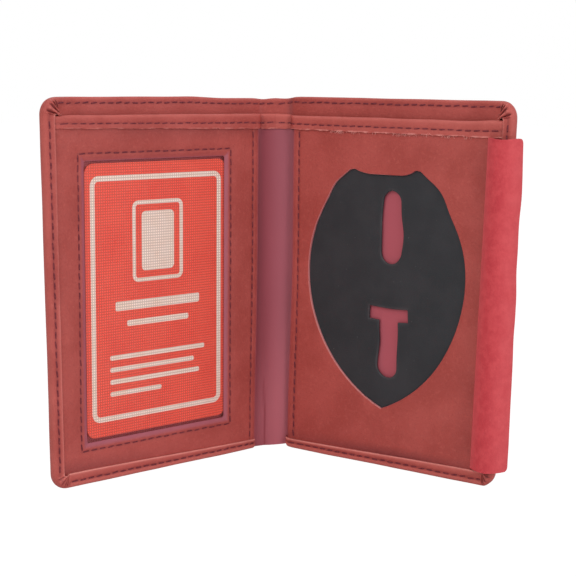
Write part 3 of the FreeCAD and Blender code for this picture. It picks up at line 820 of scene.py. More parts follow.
def lining_half(kind, label, side):
    """Half of a lining: a thin sheet that dips over the spine."""
    low, high = flat_box("right" + kind, RIGHT)
    spine_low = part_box("spine" + kind)[0] / MM
    x_places = gather(even(0, HALF_SPINE + 4, 0.5), even(HALF_SPINE + 6, BEND_X, 6),
                      even(BEND_X, high.x, 0.8))
    y_places = gather(even(spine_low.z, LOW_BEND, 0.8), even(LOW_BEND, high.y, 4))
    cloth = flat_sheet(label + kind + "_cloth", side, x_places, y_places, high.z)

    def trim(point):
        """Keep the cloth off the foot of the page."""
        start = 1.5 if side == LEFT else 0.2
        share = ramp(abs(point.x) - HALF_SPINE, start, start + 1.5)
        foot = spine_low.z + (low.y - spine_low.z) * share
        point.y = foot + (point.y - spine_low.z) * (high.y - foot) / (high.y - spine_low.z)
        return inside_corner(point)

    def billow(point):
        on_spine = 1 - ramp(abs(point.x) - HALF_SPINE, -1.0, 2.2)
        point.z += (-spine_low.y - high.z) * on_spine
        if kind == "_wall_lining":
            below = ramp(high.y - point.y, 0, 8)
            point.z += 0.35 * on_spine * hump(point.x - 0.8, 3.2) * below
            point.y += 1.2 * on_spine * (1 - below)
            point.z -= 0.22 * hump(from_crease(point), 0.7) * ramp(70 - point.y, 0, 50)
        return point

    # Painted shade: darker cloth by the left fold, weaker at the foot, and along the crease.
    def crease(point):
        shade = 0.75 * (1 - ramp(point.x, -5.0, 2.5)) * ramp(point.x, -9, -6)
        shade *= 0.45 + 0.55 * ramp(point.y, 6, 40)
        return max(shade, 0.9 * hump(from_crease(point), 0.4) * ramp(34 - point.y, 0, 16))

    # Painted light: a paler mauve over the foot of the spine's cloth.
    def mauve(point):
        near_spine = 1 - ramp(abs(point.x), HALF_SPINE, HALF_SPINE + 4)
        return 0.85 * near_spine * (1 - ramp(point.y, 8, 55))

    def pink(point):
        return ramp(abs(point.x), HALF_SPINE + 6, HALF_SPINE + 12)
    relief(cloth, trim)
    relief(cloth, billow)
    thicken(cloth, LINING_THICK)
    paint(cloth, crease=crease, mauve=mauve, pink=pink)
    fit(cloth, LINING, half_of(kind, label), label, 50)


for label, side in PAGES.items():
    for kind in ("_bill_lining", "_wall_lining"):
        lining_half(kind, label, side)

# %% [markdown]
# ## Pocket panels
# Each page carries a flat leather panel: the left one has the card's window, the right one the
# badge's shield. Their outlines are already right in the solids, so a copy is laid back into
# the flat pattern and cut into a fine grid. The grid lets the leather sink along its seams, roll
# down into the window and lift a little where the pocket is open.

# %% A copy of a solid, cut into a grid
EDGE_SEAM = 2.4
BIND_SHIFT = {LEFT: (1.4, 0.0), RIGHT: (-0.4, -0.65)}


def flat_copy(node, side, name, x_places=(), y_places=()):
    """A solid's copy, laid back into the flat pattern and cut along lines."""
    piece = new_piece(name, frame["nodes"][node].data)
    relief(piece, lambda point: flatten(point, side))
    edit(piece)
    bpy.ops.mesh.remove_doubles(threshold=0.004 * MM)
    bpy.ops.mesh.dissolve_limited(angle_limit=math.radians(0.5))
    cut([side * x for x in x_places], y_places)
    bpy.ops.mesh.select_all(action="SELECT")
    bpy.ops.mesh.normals_make_consistent(inside=False)
    finish_edit()
    return piece


def on_front(point):
    """0 at the back of a panel, 1 on its front."""
    return ramp(point.z, PANEL_BACK + 0.2, PANEL_FRONT - 0.1)


def seam_dip(distance):
    """Depth of the dent along a seam."""
    return 0.14 * hump(distance, 0.45)


def seam_shade(distance):
    """Painted shade along the line of a seam."""
    return 0.4 * hump(distance, 0.35)


def edge_dip(run):
    """Depth of a panel's seam and of its rounded edge, by the distance from that edge."""
    return seam_dip(run - EDGE_SEAM) + 0.2 * hump(run, 0.5)


def sewn_askew(point):
    """The binding isn't sewn on quite level: its two edges wander from their lines on each page."""
    run = abs(point.x) - HALF_SPINE
    at_foot, at_top = BIND_SHIFT[LEFT if point.x < 0 else RIGHT]
    at_foot *= clamp(run / 80)
    at_top *= ramp(run, -HALF_SPINE, 4) * (1 - 0.7 * ramp(run, 68, 79))
    share = clamp((point.y - binding_low.y) / (binding_high.y - binding_low.y))
    return Vector((point.x, point.y + at_foot + (at_top - at_foot) * share, point.z))


def panel_shade(point, run, by_hem):
    """Painted shade on a panel: along its edge seam, beside the hem, and just below the binding."""
    foot = sewn_askew(Vector((point.x, binding_low.y, 0))).y
    return max(seam_shade(run - EDGE_SEAM), 0.35 * hump(point.y - foot + 0.3, 0.8),
               by_hem * hump(point.y - foot_hem(abs(point.x)) - 0.2, 0.8))


# %% Window panel
SEAM_OUT = 2.3
window_low, window_high = box_of(
    [(x, y, z) for x, y, z in flat_points("window_panel", LEFT)
     if panel_low.x + 3 < x < panel_high.x - 3 and panel_low.y + 3 < y < panel_high.y - 3
     and z < PANEL_BACK + 0.01])


def outside_window(point):
    """How far a point of the left page is outside the window, and whether that is above it."""
    across = max(window_low.x - abs(point.x), abs(point.x) - window_high.x, 0)
    along = max(window_low.y - point.y, point.y - window_high.y, 0)
    return max(across, along), point.y > window_high.y and along >= across


def window_relief(point):
    """Roll the leather down into the window and sink its seams."""
    out, _ = outside_window(point)
    sunk = 0.42 * (1 - ramp(out, 0.0, 1.6)) + seam_dip(out - SEAM_OUT)
    point.z -= on_front(point) * (sunk + edge_dip(abs(point.x) - panel_low.x))
    point.z += 0.1 * wobble(point, 18, 7.0) * ramp(out, 0.5, 6)
    return point


def window_mauve(point):
    out, above = outside_window(point)
    band = (0.15 if above else 0.8) * (1 - ramp(out, 0.5, 1.9))
    return max(band, 0.55 * hump(abs(point.x) - panel_low.x, 0.35))


# Painted shade along the window's seams, beside the side hem and as on every panel.
def window_crease(point):
    out, _ = outside_window(point)
    by_side = 0.7 * hump(abs(point.x) - PAGE_END + SIDE_HEM + 0.2, 0.8)
    shade = panel_shade(point, abs(point.x) - panel_low.x, 0.7)
    return max(seam_shade(out - SEAM_OUT), by_side, shade)


x_places = gather(even(panel_low.x + 0.4, panel_high.x - 0.4, 4), fine_round(window_low.x),
                  fine_round(window_high.x), fine_round(panel_low.x + EDGE_SEAM, 1.2))
y_places = gather(even(panel_low.y + 0.4, panel_high.y - 0.4, 4), fine_round(window_low.y),
                  fine_round(window_high.y))
window_panel = flat_copy("window_panel", LEFT, "window_panel_leather", x_places, y_places)
relief(window_panel, window_relief)
paint(window_panel, mauve=window_mauve, crease=window_crease)
fit(window_panel, LEATHER, ["window_panel"], "left_page", 35)

# %% Badge panel
FLAP_LEAN = 2.8
SHIELD_MIDDLE = HALF_SPINE + 38.6
SHOULDER, NOTCH = 11.7, 7.4
SHIELD_TOP = 97.1
flap_low, flap_high = flat_box("badge_flap", RIGHT)
flap_high.y += 0.8


def lean_at(y):
    """How much further out the pocket's open edge lies at this height; it is cut a little askew."""
    return FLAP_LEAN * clamp((y - flap_low.y) / (flap_high.y - flap_low.y))


def badge_relief(point):
    """Draw the shield as it is cut on the real panel, sink the seam and lift the open side."""
    in_binding = ramp(point.y, binding_low.y + 0.5, binding_high.y - 1.0)
    point.y += (sewn_askew(point).y - point.y) * in_binding
    across = abs(point.x - SHIELD_MIDDLE)
    by_top = hump(point.y - SHIELD_TOP + 0.6, 1.6)
    point.y -= 0.3 * by_top * hump(across - SHOULDER, 0.6)
    point.y += 0.3 * by_top * hump(across - NOTCH, 1.0)
    if point.x > SHIELD_MIDDLE:
        point.y += 0.75 * by_top * hump(across - SHOULDER, 2.4)
        point.x -= 0.1 * by_top * hump(across - SHOULDER, 3.0)
        point.x += 1.8 * hump(point.y - 91.5, 7) * hump(across - 17.5, 6.5)
        inner = 1 - ramp(point.x, badge_high.x - 2.5, badge_high.x)
        point.x -= 0.9 * inner * hump(point.y - 60, 20) * hump(across - 29, 5)
    else:
        point.y += 0.25 * by_top * hump(across - SHOULDER, 2.0)
        point.x -= 0.3 * by_top * hump(across - SHOULDER, 3.0)
        point.x -= 1.6 * hump(point.y - 92.5, 6) * hump(across - 16.5, 6)
    face = on_front(point)
    open_side = ramp(point.x, badge_high.x - 10, badge_high.x)
    point.z += face * (0.25 * open_side - edge_dip(point.x - badge_low.x))
    point.x += (lean_at(point.y) + 0.8) * open_side
    return point


def on_cut(point, end, depth):
    """Whether a point is on the shield's cut edge, up to a place across and below a depth."""
    inside = badge_low.x + 5 < point.x < end and 10 < point.y < 100
    return inside and point.z < PANEL_FRONT - depth


def badge_mauve(point):
    shown = 0.5 if on_cut(point, badge_high.x - 2, 0.06) else 0.0
    return max(shown, 0.5 * hump(point.x - badge_low.x, 0.35))


def badge_raw(point):
    shown = on_cut(point, SHIELD_MIDDLE, 0.03)
    return 0.6 * ramp(70 - point.y, -10, 40) + 0.55 if shown else 0.0


# Painted shadow of the flap on the panel beside it, and the panel's painted shade.
def badge_crease(point):
    by_flap = 0.15 * ramp(point.x - lean_at(point.y), badge_high.x - 6, badge_high.x - 1)
    return max(by_flap, panel_shade(point, point.x - badge_low.x, 0.75))


x_places = gather(even(badge_low.x + 0.4, badge_high.x - 0.4, 3),
                  fine_round(badge_low.x + EDGE_SEAM, 1.2),
                  fine_round(SHIELD_MIDDLE - SHOULDER, 6, 0.45),
                  fine_round(SHIELD_MIDDLE + SHOULDER, 6, 0.45))
y_places = gather(even(badge_low.y + 0.4, badge_high.y - 0.4, 3),
                  even(SHIELD_TOP - 4, SHIELD_TOP + 3, 0.5))
badge_panel = flat_copy("badge_panel", RIGHT, "badge_panel_leather", x_places, y_places)
relief(badge_panel, badge_relief)
paint(badge_panel, mauve=badge_mauve, raw=badge_raw, crease=badge_crease)
fit(badge_panel, LEATHER, ["badge_panel"], "right_page", 35)

# %% [markdown]
# ## Black backing
# Behind the shield lies a black panel with two slots for the badge's clip. Its slots are cut by
# hand, so their edges wander a little and are dusty from use. A copy of the solid gets soft
# edges with a bevel and a slight wander at the slots.

# %% Backing
SLOT_MIDDLE = HALF_SPINE + 40.6
backing_low, backing_high = flat_box("badge_backing", RIGHT)
backing = flat_copy("badge_backing", RIGHT, "badge_backing_panel")
use_modifier(backing, "BEVEL", width=0.22 * MM, segments=2, limit_method="ANGLE",
             angle_limit=math.radians(50))
edit(backing)
cut(gather(even(backing_low.x + 2, backing_high.x - 2, 4), fine_round(SLOT_MIDDLE, 9.5, 0.6)),
    gather(even(backing_low.y + 2, backing_high.y - 2, 4), even(27.5, 92.5, 0.8)))
finish_edit()

slot_points = []
for edge in backing.data.edges:
    start, stop = (backing.data.vertices[index].co / MM for index in edge.vertices)
    by_slots = abs(start.x - SLOT_MIDDLE) < 8.5 and 28 < start.y < 92
    if by_slots and abs(start.z - stop.z) > 0.2:
        slot_points.append(start)
rim_finder = KDTree(len(slot_points))
for index, spot in enumerate(slot_points):
    rim_finder.insert((spot.x, spot.y, 0), index)
rim_finder.balance()


def from_slot(point):
    """How far a point is from the nearest slot edge, seen from the front."""
    if abs(point.x - SLOT_MIDDLE) > 16:
        return 9.0
    return rim_finder.find((point.x, point.y, 0))[2]


def dusty(point):
    """Dust along the edges of the slots."""
    return 0.5 * hump(from_slot(point), 0.55) * (0.6 + 0.8 * wobble(point, 4))


def hand_cut(point):
    """Let the edges of the slots wander as the knife did."""
    near = hump(from_slot(point), 2.0)
    seed = 2.0 if point.x < SLOT_MIDDLE else 6.0
    on_left = ramp(SLOT_MIDDLE - point.x, -1, 1)
    point.x += 0.45 * near * wobble((0, point.y, 0), 13, seed)
    point.x += 0.8 * near * on_left * ramp(point.y, 80, 90)
    point.x += 1.0 * near * (1 - on_left) * hump(point.y - 76.5, 5)
    point.x += 0.45 * near * on_left * (hump(point.y - 41.5, 3.5) - hump(point.y - 33.3, 3.5))
    lower = 1 - ramp(point.y, 60, 66)
    point.x -= 0.3 * near * lower
    point.y -= 0.5 * near * lower * ramp(point.y, 40, 46)
    point.y += 0.5 * near * wobble((point.x, 0, 0), 11, 4.0)
    return point


paint(backing, worn=dusty)
relief(backing, hand_cut)
fit(backing, BACKING, ["badge_backing"], "right_page", 35)

# %% [markdown]
# ## Bindings
# A strip of leather is folded over the top of both pages and the spine and sewn through. Its top
# is a soft roll, and its lower edge is left raw, so a pale fringe of fibres stands out there. The
# front of the strip is a sheet whose top edge is extruded round the roll and down the back.

# %% Binding halves
BIND_ROLL, BIND_THICK = 0.75, 0.4
BIND_FOOT, BIND_BEND = binding_low.y, binding_high.y - BIND_ROLL
BIND_BACK, BIND_FRONT = binding_low.z, binding_high.z
BIND_SEAM = BIND_FOOT + 2.0
SPINE_BIND_FRONT = -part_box("spine_binding")[0].y / MM
SPINE_BIND_BACK = SPINE_BIND_FRONT - 0.95


def bind_level(run, level):
    """Level of the binding after it has sunk towards the spine."""
    depth = (level - BIND_BACK) / (BIND_FRONT - BIND_BACK)
    at_spine = SPINE_BIND_BACK + depth * (SPINE_BIND_FRONT - SPINE_BIND_BACK)
    return level + (at_spine - level) * (1 - ramp(run, 0.0, 3.0))


def over_roll(point, angle):
    """Where the top edge of the strip lies at an angle of its roll."""
    level = BIND_FRONT - (BIND_FRONT - BIND_BACK) * (1 - math.cos(angle)) / 2
    return Vector((point.x, BIND_BEND + BIND_ROLL * math.sin(angle), level))


def settle_binding(point):
    """Sink the seam, fray the foot, and let the strip drop at the spine and the side hem."""
    run = abs(point.x) - HALF_SPINE
    face = ramp(point.z, BIND_BACK + 0.5, BIND_FRONT)
    point.z -= face * 0.17 * hump(point.y - BIND_SEAM, 0.5)
    point.z += face * 0.1 * wobble(point, 6, 9.0)
    raw = face * hump(point.y - BIND_FOOT, 0.4)
    point.y += raw * (0.3 * wobble(point, 0.9) + 0.25 * wobble(point, 5))
    point.y += 0.15 * wobble((point.x, 0, 0), 12, 4.0) * ramp(point.y, BIND_FOOT, BIND_BEND)
    point.z = bind_level(run, point.z)
    point.z -= face * 0.12 * hump(run - 0.6, 1.4)
    point.z -= raw * 0.1 * (1 - ramp(run, 0.0, 2.5))
    hem_start = PAGE_END - HALF_SPINE - SIDE_HEM
    point.z -= 0.6 * ramp(run, hem_start - 0.3, hem_start + 0.3)
    return point


def binding_half(label, side):
    """Half of the binding: a sheet with its top edge rolled over."""
    x_places = gather(even(0, HALF_SPINE + 4, 0.5), even(HALF_SPINE + 4, PAGE_END - 2.2, 0.6))
    y_places = gather([BIND_FOOT, BIND_FOOT + 0.25], even(BIND_FOOT + 0.6, BIND_BEND, 0.4))
    strip = flat_sheet(label + "_binding_strip", side, x_places, y_places, BIND_FRONT)
    edit(strip)
    pick_rim(strip, lambda middle: middle.y > BIND_BEND - 0.01)
    for index in range(1, ROLL_STEPS + 1):
        move_rim(strip, lambda point: over_roll(point, math.pi * index / ROLL_STEPS))
    move_rim(strip, lambda point: Vector((point.x, BIND_BEND - 3.0, point.z)))
    finish_edit()
    turn_faces(strip, 1, lambda level: level > BIND_FRONT - 0.1)
    relief(strip, settle_binding)
    use_modifier(strip, "SOLIDIFY", thickness=BIND_THICK * MM, offset=-1)

    # Rubbed pale roll, and a painted highlight over the whole strip, stronger on the right page.
    def worn(point):
        rubbed = 0.6 * hump(point.y - BIND_BEND - 0.3, 0.7) * (0.7 + 0.3 * wobble(point, 3))
        return rubbed + (0.25 if side == RIGHT else 0.05)

    def raw(point):
        frayed = ramp(wobble(point, 2.5, 2.0), -0.3, 0.35) * (0.9 if side == RIGHT else 0.4)
        return frayed * hump(point.y - BIND_FOOT, 0.28)

    # Painted shade along the seam and by the fold, darker on the right page.
    def crease(point):
        by_fold = hump(abs(point.x) - HALF_SPINE - 0.6, 1.4)
        return max(seam_shade(point.y - BIND_SEAM), (0.3 if side == RIGHT else 0.1) * by_fold)
    paint(strip, worn=worn, raw=raw, crease=crease)
    relief(strip, sewn_askew)
    fit(strip, LEATHER, half_of("_binding", label), label, 60)


for label, side in PAGES.items():
    binding_half(label, side)

# %% Fibres of the raw edge
FIBRE = plain_finish("pale_fibre", 0.8, 0.15, (0.8, 2), ((226, 172, 164), (206, 128, 122)), 0.65)
clear_selection()
bpy.ops.mesh.primitive_cone_add(vertices=5, radius1=0.07 * MM, radius2=0.02 * MM, depth=1.1 * MM)
fibre = bpy.context.object
chance = random.Random(11)
tufts = [chance.uniform(16, 72) for index in range(16)]
strands = []
for index in range(130):
    strand = new_piece("fibre", fibre.data)
    tuft = chance.choice(tufts) + chance.gauss(0, 1.1)
    turn = Matrix.Rotation(chance.uniform(-1.1, 1.1), 4, "Z") @ Matrix.Rotation(math.pi / 2, 4, "X")
    tilt = Matrix.Rotation(chance.uniform(-0.25, 0.1), 4, "X")
    spot = Vector((HALF_SPINE + tuft, BIND_FOOT + chance.uniform(-0.45, 0.3),
                   BIND_FRONT - chance.uniform(0.0, 0.35)))
    strand.data.transform(Matrix.Translation(spot * MM) @ tilt @ turn)
    strands.append(strand)
bpy.data.objects.remove(fibre)
fringe = join(strands, "binding_fringe")
relief(fringe, sewn_askew)
fit(fringe, FIBRE, body="right_page", degrees=60)

# %% [markdown]
# ## Thread
# Every seam is a row of dark plum stitches. One stitch is a small stretched ball with a few
# dozen faces; an array lays it out along a seam, and each stitch then gets its own slight turn,
# as thread never lies quite straight.

# %% One stitch, and rows of it
STITCH_PITCH = 3.0
STITCH_SUNK = 0.1
clear_selection()
bpy.ops.mesh.primitive_uv_sphere_add(segments=8, ring_count=6, radius=MM)
stitch = bpy.context.object
stitch.name = "stitch_pattern"
bpy.ops.transform.rotate(value=math.pi / 2, orient_axis="Y", center_override=(0, 0, 0))
bpy.ops.object.transform_apply(location=True, rotation=True, scale=True)


def stretch(point):
    """A ball of 1 mm radius becomes a stitch with round ends and a straight middle."""
    middle = math.copysign(0.62, point.x) * ramp(abs(point.x), 0.02, 0.2)
    return Vector((0.45 * point.x + middle, 0.24 * point.y, 0.2 * point.z))


relief(stitch, stretch)


def stitch_row(name, side, along, start, stop, across, level):
    """Stitches along x or y of the flat pattern, from start to stop at the place across it."""
    count = max(2, round((stop - start) / STITCH_PITCH))
    pitch = (stop - start) / count
    row = new_piece(name, stitch.data)
    use_modifier(row, "ARRAY", count=count, use_relative_offset=False, use_constant_offset=True,
                 constant_offset_displace=(pitch * MM, 0, 0))
    chance = random.Random(name)
    turns = [chance.uniform(-0.09, 0.09) + 0.06 for index in range(count)]
    shifts = [chance.uniform(-0.12, 0.12) for index in range(count)]

    def lay(point):
        index = min(max(round(point.x / pitch), 0), count - 1)
        x = point.x - index * pitch
        y = point.y + x * math.sin(turns[index]) + shifts[index]
        x += (index + 0.5) * pitch + start
        spot = (side * x, across + side * y) if along == "x" else (side * across - y, x)
        return Vector((*spot, level(abs(spot[0]), spot[1]) + point.z))
    relief(row, lay)
    return row


def sew(name, rows, nodes, body):
    """Join rows into one piece of thread that stands for its nodes."""
    fit(join(rows, name), THREAD, nodes, body, 70)


def hem_level(x, y):
    base, _, corner = edge_at(x, y)
    return edge_sizes(base, corner)[0] - STITCH_SUNK


def panel_level(x, y):
    return PANEL_FRONT - STITCH_SUNK


def binding_level(x, y):
    return bind_level(x - HALF_SPINE, BIND_FRONT) - 0.14


print("a stitch has", len(stitch.data.polygons), "faces")

# %% Sew all the seams
for label, side in PAGES.items():
    page = label + "_page"
    rows = [stitch_row(label + "_side_row", side, "y", 5.4, HEIGHT - 6, PAGE_END - SEAM_SIDE,
                       hem_level),
            stitch_row(label + "_foot_row", side, "x", HALF_SPINE + 3.2, BEND_X - 0.5, SEAM_FOOT,
                       hem_level)]
    sew(label + "_hem_thread", rows, [label + "_hem_stitches"], page)
    row = stitch_row(label + "_top_row", side, "x", 0.4, BEND_X + 1.2, HEIGHT - SEAM_TOP, hem_level)
    sew(label + "_top_thread", [row], half_of("_top_stitches", label), label)
    row = stitch_row(label + "_binding_row", side, "x", 0.4, PAGE_END - SIDE_HEM - 0.8, BIND_SEAM,
                     binding_level)
    relief(row, sewn_askew)
    sew(label + "_binding_thread", [row], half_of("_binding_stitches", label), label)
    row = stitch_row(label + "_edge_row", side, "y", 4.2, BIND_FOOT - 0.4, panel_low.x + EDGE_SEAM,
                     panel_level)
    sew(label + "_panel_edge_thread", [row], [label + "_panel_edge_stitches"], page)
left, low = window_low.x - SEAM_OUT, window_low.y - SEAM_OUT
right, high = window_high.x + SEAM_OUT, window_high.y + SEAM_OUT
sides = (("x", left, right, low), ("x", left, right, high),
         ("y", low, high, left), ("y", low, high, right))
rows = [stitch_row("window_row_" + str(index), LEFT, *line, panel_level)
        for index, line in enumerate(sides)]
sew("window_thread", rows, ["window_stitches"], "left_page")
bpy.data.objects.remove(stitch)

# %% [markdown]
# ## Card and clear weave
# A plastic card stands behind a fine clear weave. The card's solid is right as it is and only
# gets its finish. The print on it is of this lesson's own making: a plain border, a box for a
# picture and bars where words would stand, each a thin patch just on the card. The weave is one
# stretched sheet that is mostly clear, with threads drawn from its own map.

# %% Card finish and print
CARD = plain_finish("red_card", 0.42, 0.4, (12, 2), ((255, 100, 82), (250, 92, 76)),
                    grain=(0.5, 0.01, 0.3))
INK = plain_finish("cream_ink", 0.5, 0.3, (5, 3), ((255, 244, 232), (252, 236, 220)))
card = frame["nodes"]["id_card"]
card.data.materials.clear()
card.data.materials.append(CARD)
card_low, card_high = flat_box("id_card", LEFT)
CARD_SIZE = card_high - card_low
INK_LIFT, INK_THICK = 0.02, 0.015


def print_patch(name, left, right, low, high, corner, ring=None):
    """A patch of ink with round corners, in shares of the card's sides as seen.

    A ring leaves the patch's middle open.
    """
    x_places = [card_high.x - share * CARD_SIZE.x for share in (right, left)]
    y_places = [card_low.y + share * CARD_SIZE.y for share in (low, high)]
    patch = flat_sheet(name, LEFT, x_places, y_places, card_high.z + INK_LIFT)
    edit(patch)
    bpy.ops.mesh.bevel(affect="VERTICES", offset=corner * MM, segments=6)
    bpy.ops.mesh.select_all(action="SELECT")
    if ring:
        bpy.ops.mesh.inset(thickness=ring * MM)
        bpy.ops.mesh.delete(type="FACE")
    finish_edit()
    use_modifier(patch, "SOLIDIFY", thickness=INK_THICK * MM, offset=-1)
    fit(patch, INK, body="id_card")


print_patch("print_border", 0.035, 0.965, 0.055, 0.955, 3.0, 1.7)
print_patch("print_picture_box", 0.32, 0.68, 0.56, 0.86, 2.2, 1.3)
print_patch("print_picture_fill", 0.385, 0.615, 0.60, 0.82, 1.5)
BARS = ((0.2, 0.8, 0.46, 0.495), (0.28, 0.72, 0.40, 0.422), (0.16, 0.84, 0.28, 0.298),
        (0.16, 0.76, 0.235, 0.253), (0.16, 0.80, 0.19, 0.208), (0.16, 0.52, 0.145, 0.163))
for index, bar in enumerate(BARS):
    print_patch("print_bar_" + str(index), *bar, 0.6)


# %% Clear weave
def weave_finish():
    finish = Finish("clear_weave", 0.35, 0.4)
    finish.made({"Base Color": linear(150, 72, 62)})
    spot = finish.add("SeparateXYZ", {0: finish.add("UVMap", {}, uv_map="weave")["UV"]})
    lines = [finish.span(finish.sums("PINGPONG", spot[name], 0.5), 0.12, 0.3, 1.0, 0.0)
             for name in ("X", "Y")]
    share = finish.sums("MULTIPLY", finish.sums("MAXIMUM", *lines), 0.34)
    clear = finish.add("BsdfTransparent", {})[0]
    finish.mixed_surface(share, clear, finish.shader.outputs[0])
    return finish.material


WEAVE_PITCH = 0.84
mesh_low, mesh_high = flat_box("window_mesh", LEFT)
weave = flat_sheet("window_weave", LEFT, even(mesh_low.x, mesh_high.x, 6),
                   even(mesh_low.y, mesh_high.y, 6), mesh_high.z - 0.04)
thread_map = weave.data.uv_layers.new(name="weave")
for loop in weave.data.loops:
    spot = weave.data.vertices[loop.vertex_index].co / MM
    thread_map.data[loop.index].uv = (spot.x / WEAVE_PITCH, spot.y / WEAVE_PITCH)
weave.data.uv_layers.active = thread_map
fit(weave, weave_finish(), ["window_mesh"], "left_page")
print("weave of", round((mesh_high.x - mesh_low.x) / WEAVE_PITCH), "threads across")

# %% [markdown]
# ## Suede flap
# A strip of raspberry suede springs out of the right pocket and arches over the page's outer
# edge. It is cut from a flat strip and rolled round an arc. A separate root strip under it rides
# with the page.

# %% Flap
ARC_RISE = 4.7
FLAP_CORNER, FLAP_THICK = 1.6, 0.7
flap_root = Vector(joints["flap_fold"]["pos_m"])
flap_axis = flatten(flap_root / MM, RIGHT)
arc_start = Vector((flap_axis.x, flap_axis.z))
arc_tip = Vector((flap_high.x - 0.35, 1.7))
chord = arc_tip - arc_start
arc_radius = (chord.length ** 2 / 4 + ARC_RISE ** 2) / (2 * ARC_RISE)
chord_normal = Vector((-chord.y, chord.x)).normalized()
arc_middle = (arc_start + arc_tip) / 2 + chord_normal * (ARC_RISE - arc_radius)
first_angle = math.atan2(arc_start.y - arc_middle.y, arc_start.x - arc_middle.x)
last_angle = math.atan2(arc_tip.y - arc_middle.y, arc_tip.x - arc_middle.x)
FLAP_RUN = arc_radius * abs(first_angle - last_angle)
FLAP_END = FLAP_RUN - FLAP_CORNER
FLAP_BENDS = (flap_low.y + FLAP_CORNER, flap_high.y - FLAP_CORNER)


def roll_flap(point):
    """Roll the flat strip round its arc and let its edges wander."""
    share = point.x / FLAP_RUN
    angle = first_angle + (last_angle - first_angle) * share
    radius = arc_radius + 0.18 * wobble(point, 9, 1.0) * ramp(share, 0.1, 0.4)
    x = arc_middle.x + radius * math.cos(angle)
    level = arc_middle.y + radius * math.sin(angle)
    x += lean_at(point.y) * (1 - 0.4 * share)
    level -= 0.35 * (1 - ramp(share, 0.0, 0.1))
    x += 0.3 * wobble((0, point.y, 0), 11, 8.0) * ramp(share, 0.4, 0.8)
    ends = hump(point.y - flap_low.y, 3) + hump(point.y - flap_high.y, 3)
    y = point.y + 0.35 * ends * wobble((point.x, 0, 0), 6, 3.0)
    return Vector((x, y, level))


# Painted light over the root of the flap, and patchy pale wear towards its tip.
def flap_worn(point):
    share = point.x / FLAP_RUN
    patchy = ramp(share, 0.45, 0.8) * (0.6 + 0.4 * wobble(point, 4))
    return 0.75 * (1 - ramp(share, 0.05, 0.4)) + patchy


x_places = gather(even(0, FLAP_END, 0.7), even(FLAP_END, FLAP_RUN, 0.4))
y_places = gather(even(flap_low.y, FLAP_BENDS[0], 0.4), even(*FLAP_BENDS, 1.8),
                  even(FLAP_BENDS[1], flap_high.y, 0.4))
flap = flat_sheet("suede_flap", RIGHT, x_places, y_places, 0)
relief(flap, lambda point: round_corners(point, FLAP_END, FLAP_BENDS))
paint(flap, worn=flap_worn)
relief(flap, roll_flap)
thicken(flap, FLAP_THICK)
fit(flap, SUEDE, ["badge_flap"], degrees=50, splay=False)
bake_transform(flap)
print("flap strip", round(FLAP_RUN, 1), "mm wide before it is rolled")

# %% Root of the flap
root_piece = flat_copy("flap_root", RIGHT, "flap_root_strip", (), even(8, 104, 8))
root_low, root_high = flat_box("flap_root", RIGHT)


def follow_edge(point):
    """Follow the pocket's leaning edge and reach under both ends of the flap."""
    inner_share = 1 - ramp(point.x, root_low.x, root_low.x + 3)
    point.x += (lean_at(point.y) + 0.1) * inner_share
    point.y += 2.6 * ramp(point.y, root_high.y - 2, root_high.y)
    foot = 1 - ramp(point.y, root_low.y, root_low.y + 2)
    point.y -= 1.6 * foot
    point.z -= 0.25 * foot
    return point


relief(root_piece, follow_edge)
use_modifier(root_piece, "BEVEL", width=0.15 * MM, segments=2, limit_method="ANGLE")
fit(root_piece, SUEDE, ["flap_root"], "right_page", 35)

# %% [markdown]
# ## Hidden foils
# A thin foil in each page keeps card readers out. It lies between the cover and the linings and
# is never seen, so a copy of its solid with trimmed corners and a crinkled metal finish will do.

# %% Foils
foil_look = Finish("shield_foil", 0.32, 0.5)
crinkle = foil_look.clouds(3, 5, 0.6)
foil_tint = foil_look.base(crinkle, 0.3, 0.7, (196, 198, 202), (172, 174, 178))
FOIL = foil_look.made({"Base Color": foil_tint, "Metallic": 1.0,
                       "Normal": foil_look.bump(crinkle, 0.1, 0.5)})
for label, side in PAGES.items():
    foil = flat_copy(label + "_shield_foil", side, label + "_foil_sheet")
    relief(foil, inside_corner)
    fit(foil, FOIL, [label + "_shield_foil"], label + "_page")

# %% [markdown]
# ## Stage, light and camera
# The photograph is a plain studio picture on white. A large pale floor carries a faint shadow,
# two broad lamps and a weaker one above give even light, and the camera stands where the lines
# of the two pages say that it stood.

# %% Floor and light
WHITE = (1, 1, 1, 1)
clear_selection()
bpy.ops.mesh.primitive_plane_add(size=6.0, location=(0, 0, 0))
floor = bpy.context.object
floor.name = "floor"
paper = Finish("pale_paper", 0.9, 0.5)
floor.data.materials.append(paper.made({"Base Color": (0.92, 0.92, 0.92, 1)}))
seen = paper.sums("MULTIPLY", paper.add("LightPath", {})["Is Camera Ray"], 0.9)
glow = paper.add("Emission", {"Strength": 1.1})[0]
paper.mixed_surface(seen, paper.shader.outputs[0], glow)

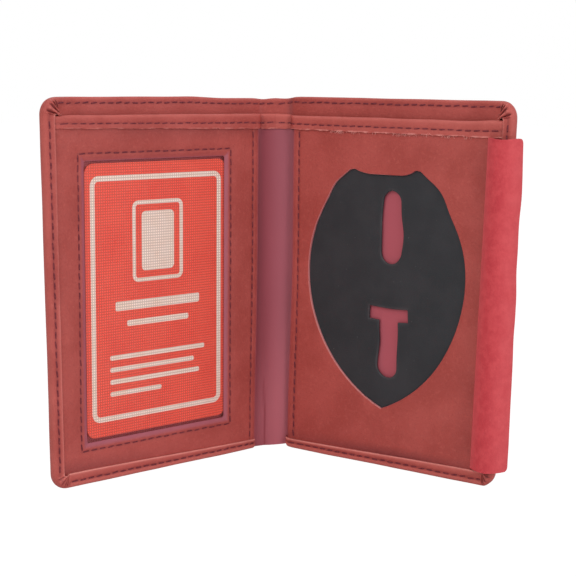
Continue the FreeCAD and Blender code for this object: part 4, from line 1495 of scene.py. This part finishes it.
world = bpy.data.worlds.new("studio")
bpy.context.scene.world = world
world.use_nodes = True
tree = world.node_tree
room = tree.nodes["Background"]
feed(tree, room, {"Color": WHITE, "Strength": 0.4})
backdrop = add_node(tree, "Background", {"Color": WHITE, "Strength": 1.0})[0]
rays = add_node(tree, "LightPath", {})
seen = rays["Is Camera Ray"]
for ray in ("Is Glossy Ray", "Is Transmission Ray"):
    seen = add_node(tree, "Math", {0: seen, 1: rays[ray]}, operation="MAXIMUM")[0]
both = add_node(tree, "MixShader", {0: seen, 1: room.outputs[0], 2: backdrop})[0]
feed(tree, tree.nodes["World Output"], {"Surface": both})


def softbox(name, place, target, size, power, colour=(1, 1, 1)):
    clear_selection()
    bpy.ops.object.light_add(type="AREA", location=place)
    lamp = bpy.context.object
    lamp.name = name
    lamp.data.size = size
    lamp.data.energy = power
    lamp.data.color = colour
    lamp.rotation_euler = (Vector(target) - Vector(place)).to_track_quat("-Z", "Y").to_euler()
    print(name, "of", power, "watts")


softbox("key_softbox", (-0.35, -0.55, 0.55), (0, -0.02, 0.06), 0.5, 2.45, (1.0, 0.97, 0.93))
softbox("fill_softbox", (0.5, -0.5, 0.35), (0, -0.02, 0.06), 0.6, 2.4, (1.0, 0.97, 0.98))
softbox("top_softbox", (0.0, 0.25, 0.7), (0, 0, 0.08), 0.5, 1.2)

# %% Camera
SENSOR = 36.0
PICTURE = 576
FOCAL_PIXELS = 1372
CAMERA_PLACE = Vector((-16.6, -460.7, 126.8)) * MM
HEADING = math.atan2(0.04606, 0.99894)
DOWN = math.radians(8.84)
TILT = math.radians(0.58)
level_ahead = Vector((math.sin(HEADING), math.cos(HEADING), 0))
ahead = level_ahead * math.cos(DOWN) - Vector((0, 0, math.sin(DOWN)))
level_right = Vector((math.cos(HEADING), -math.sin(HEADING), 0))
level_up = level_right.cross(ahead)
right = level_right * math.cos(TILT) + level_up * math.sin(TILT)
up = level_up * math.cos(TILT) - level_right * math.sin(TILT)
turned = Matrix((right, up, -ahead)).transposed().to_4x4()
clear_selection()
bpy.ops.object.camera_add()
camera = bpy.context.object
camera.matrix_world = Matrix.Translation(CAMERA_PLACE) @ turned
camera.data.sensor_width = SENSOR
camera.data.lens = FOCAL_PIXELS / PICTURE * SENSOR
camera.data.clip_start = 0.01
bpy.context.scene.camera = camera
bpy.context.scene.view_settings.view_transform = "Standard"
print("lens of", round(camera.data.lens, 1), "mm")
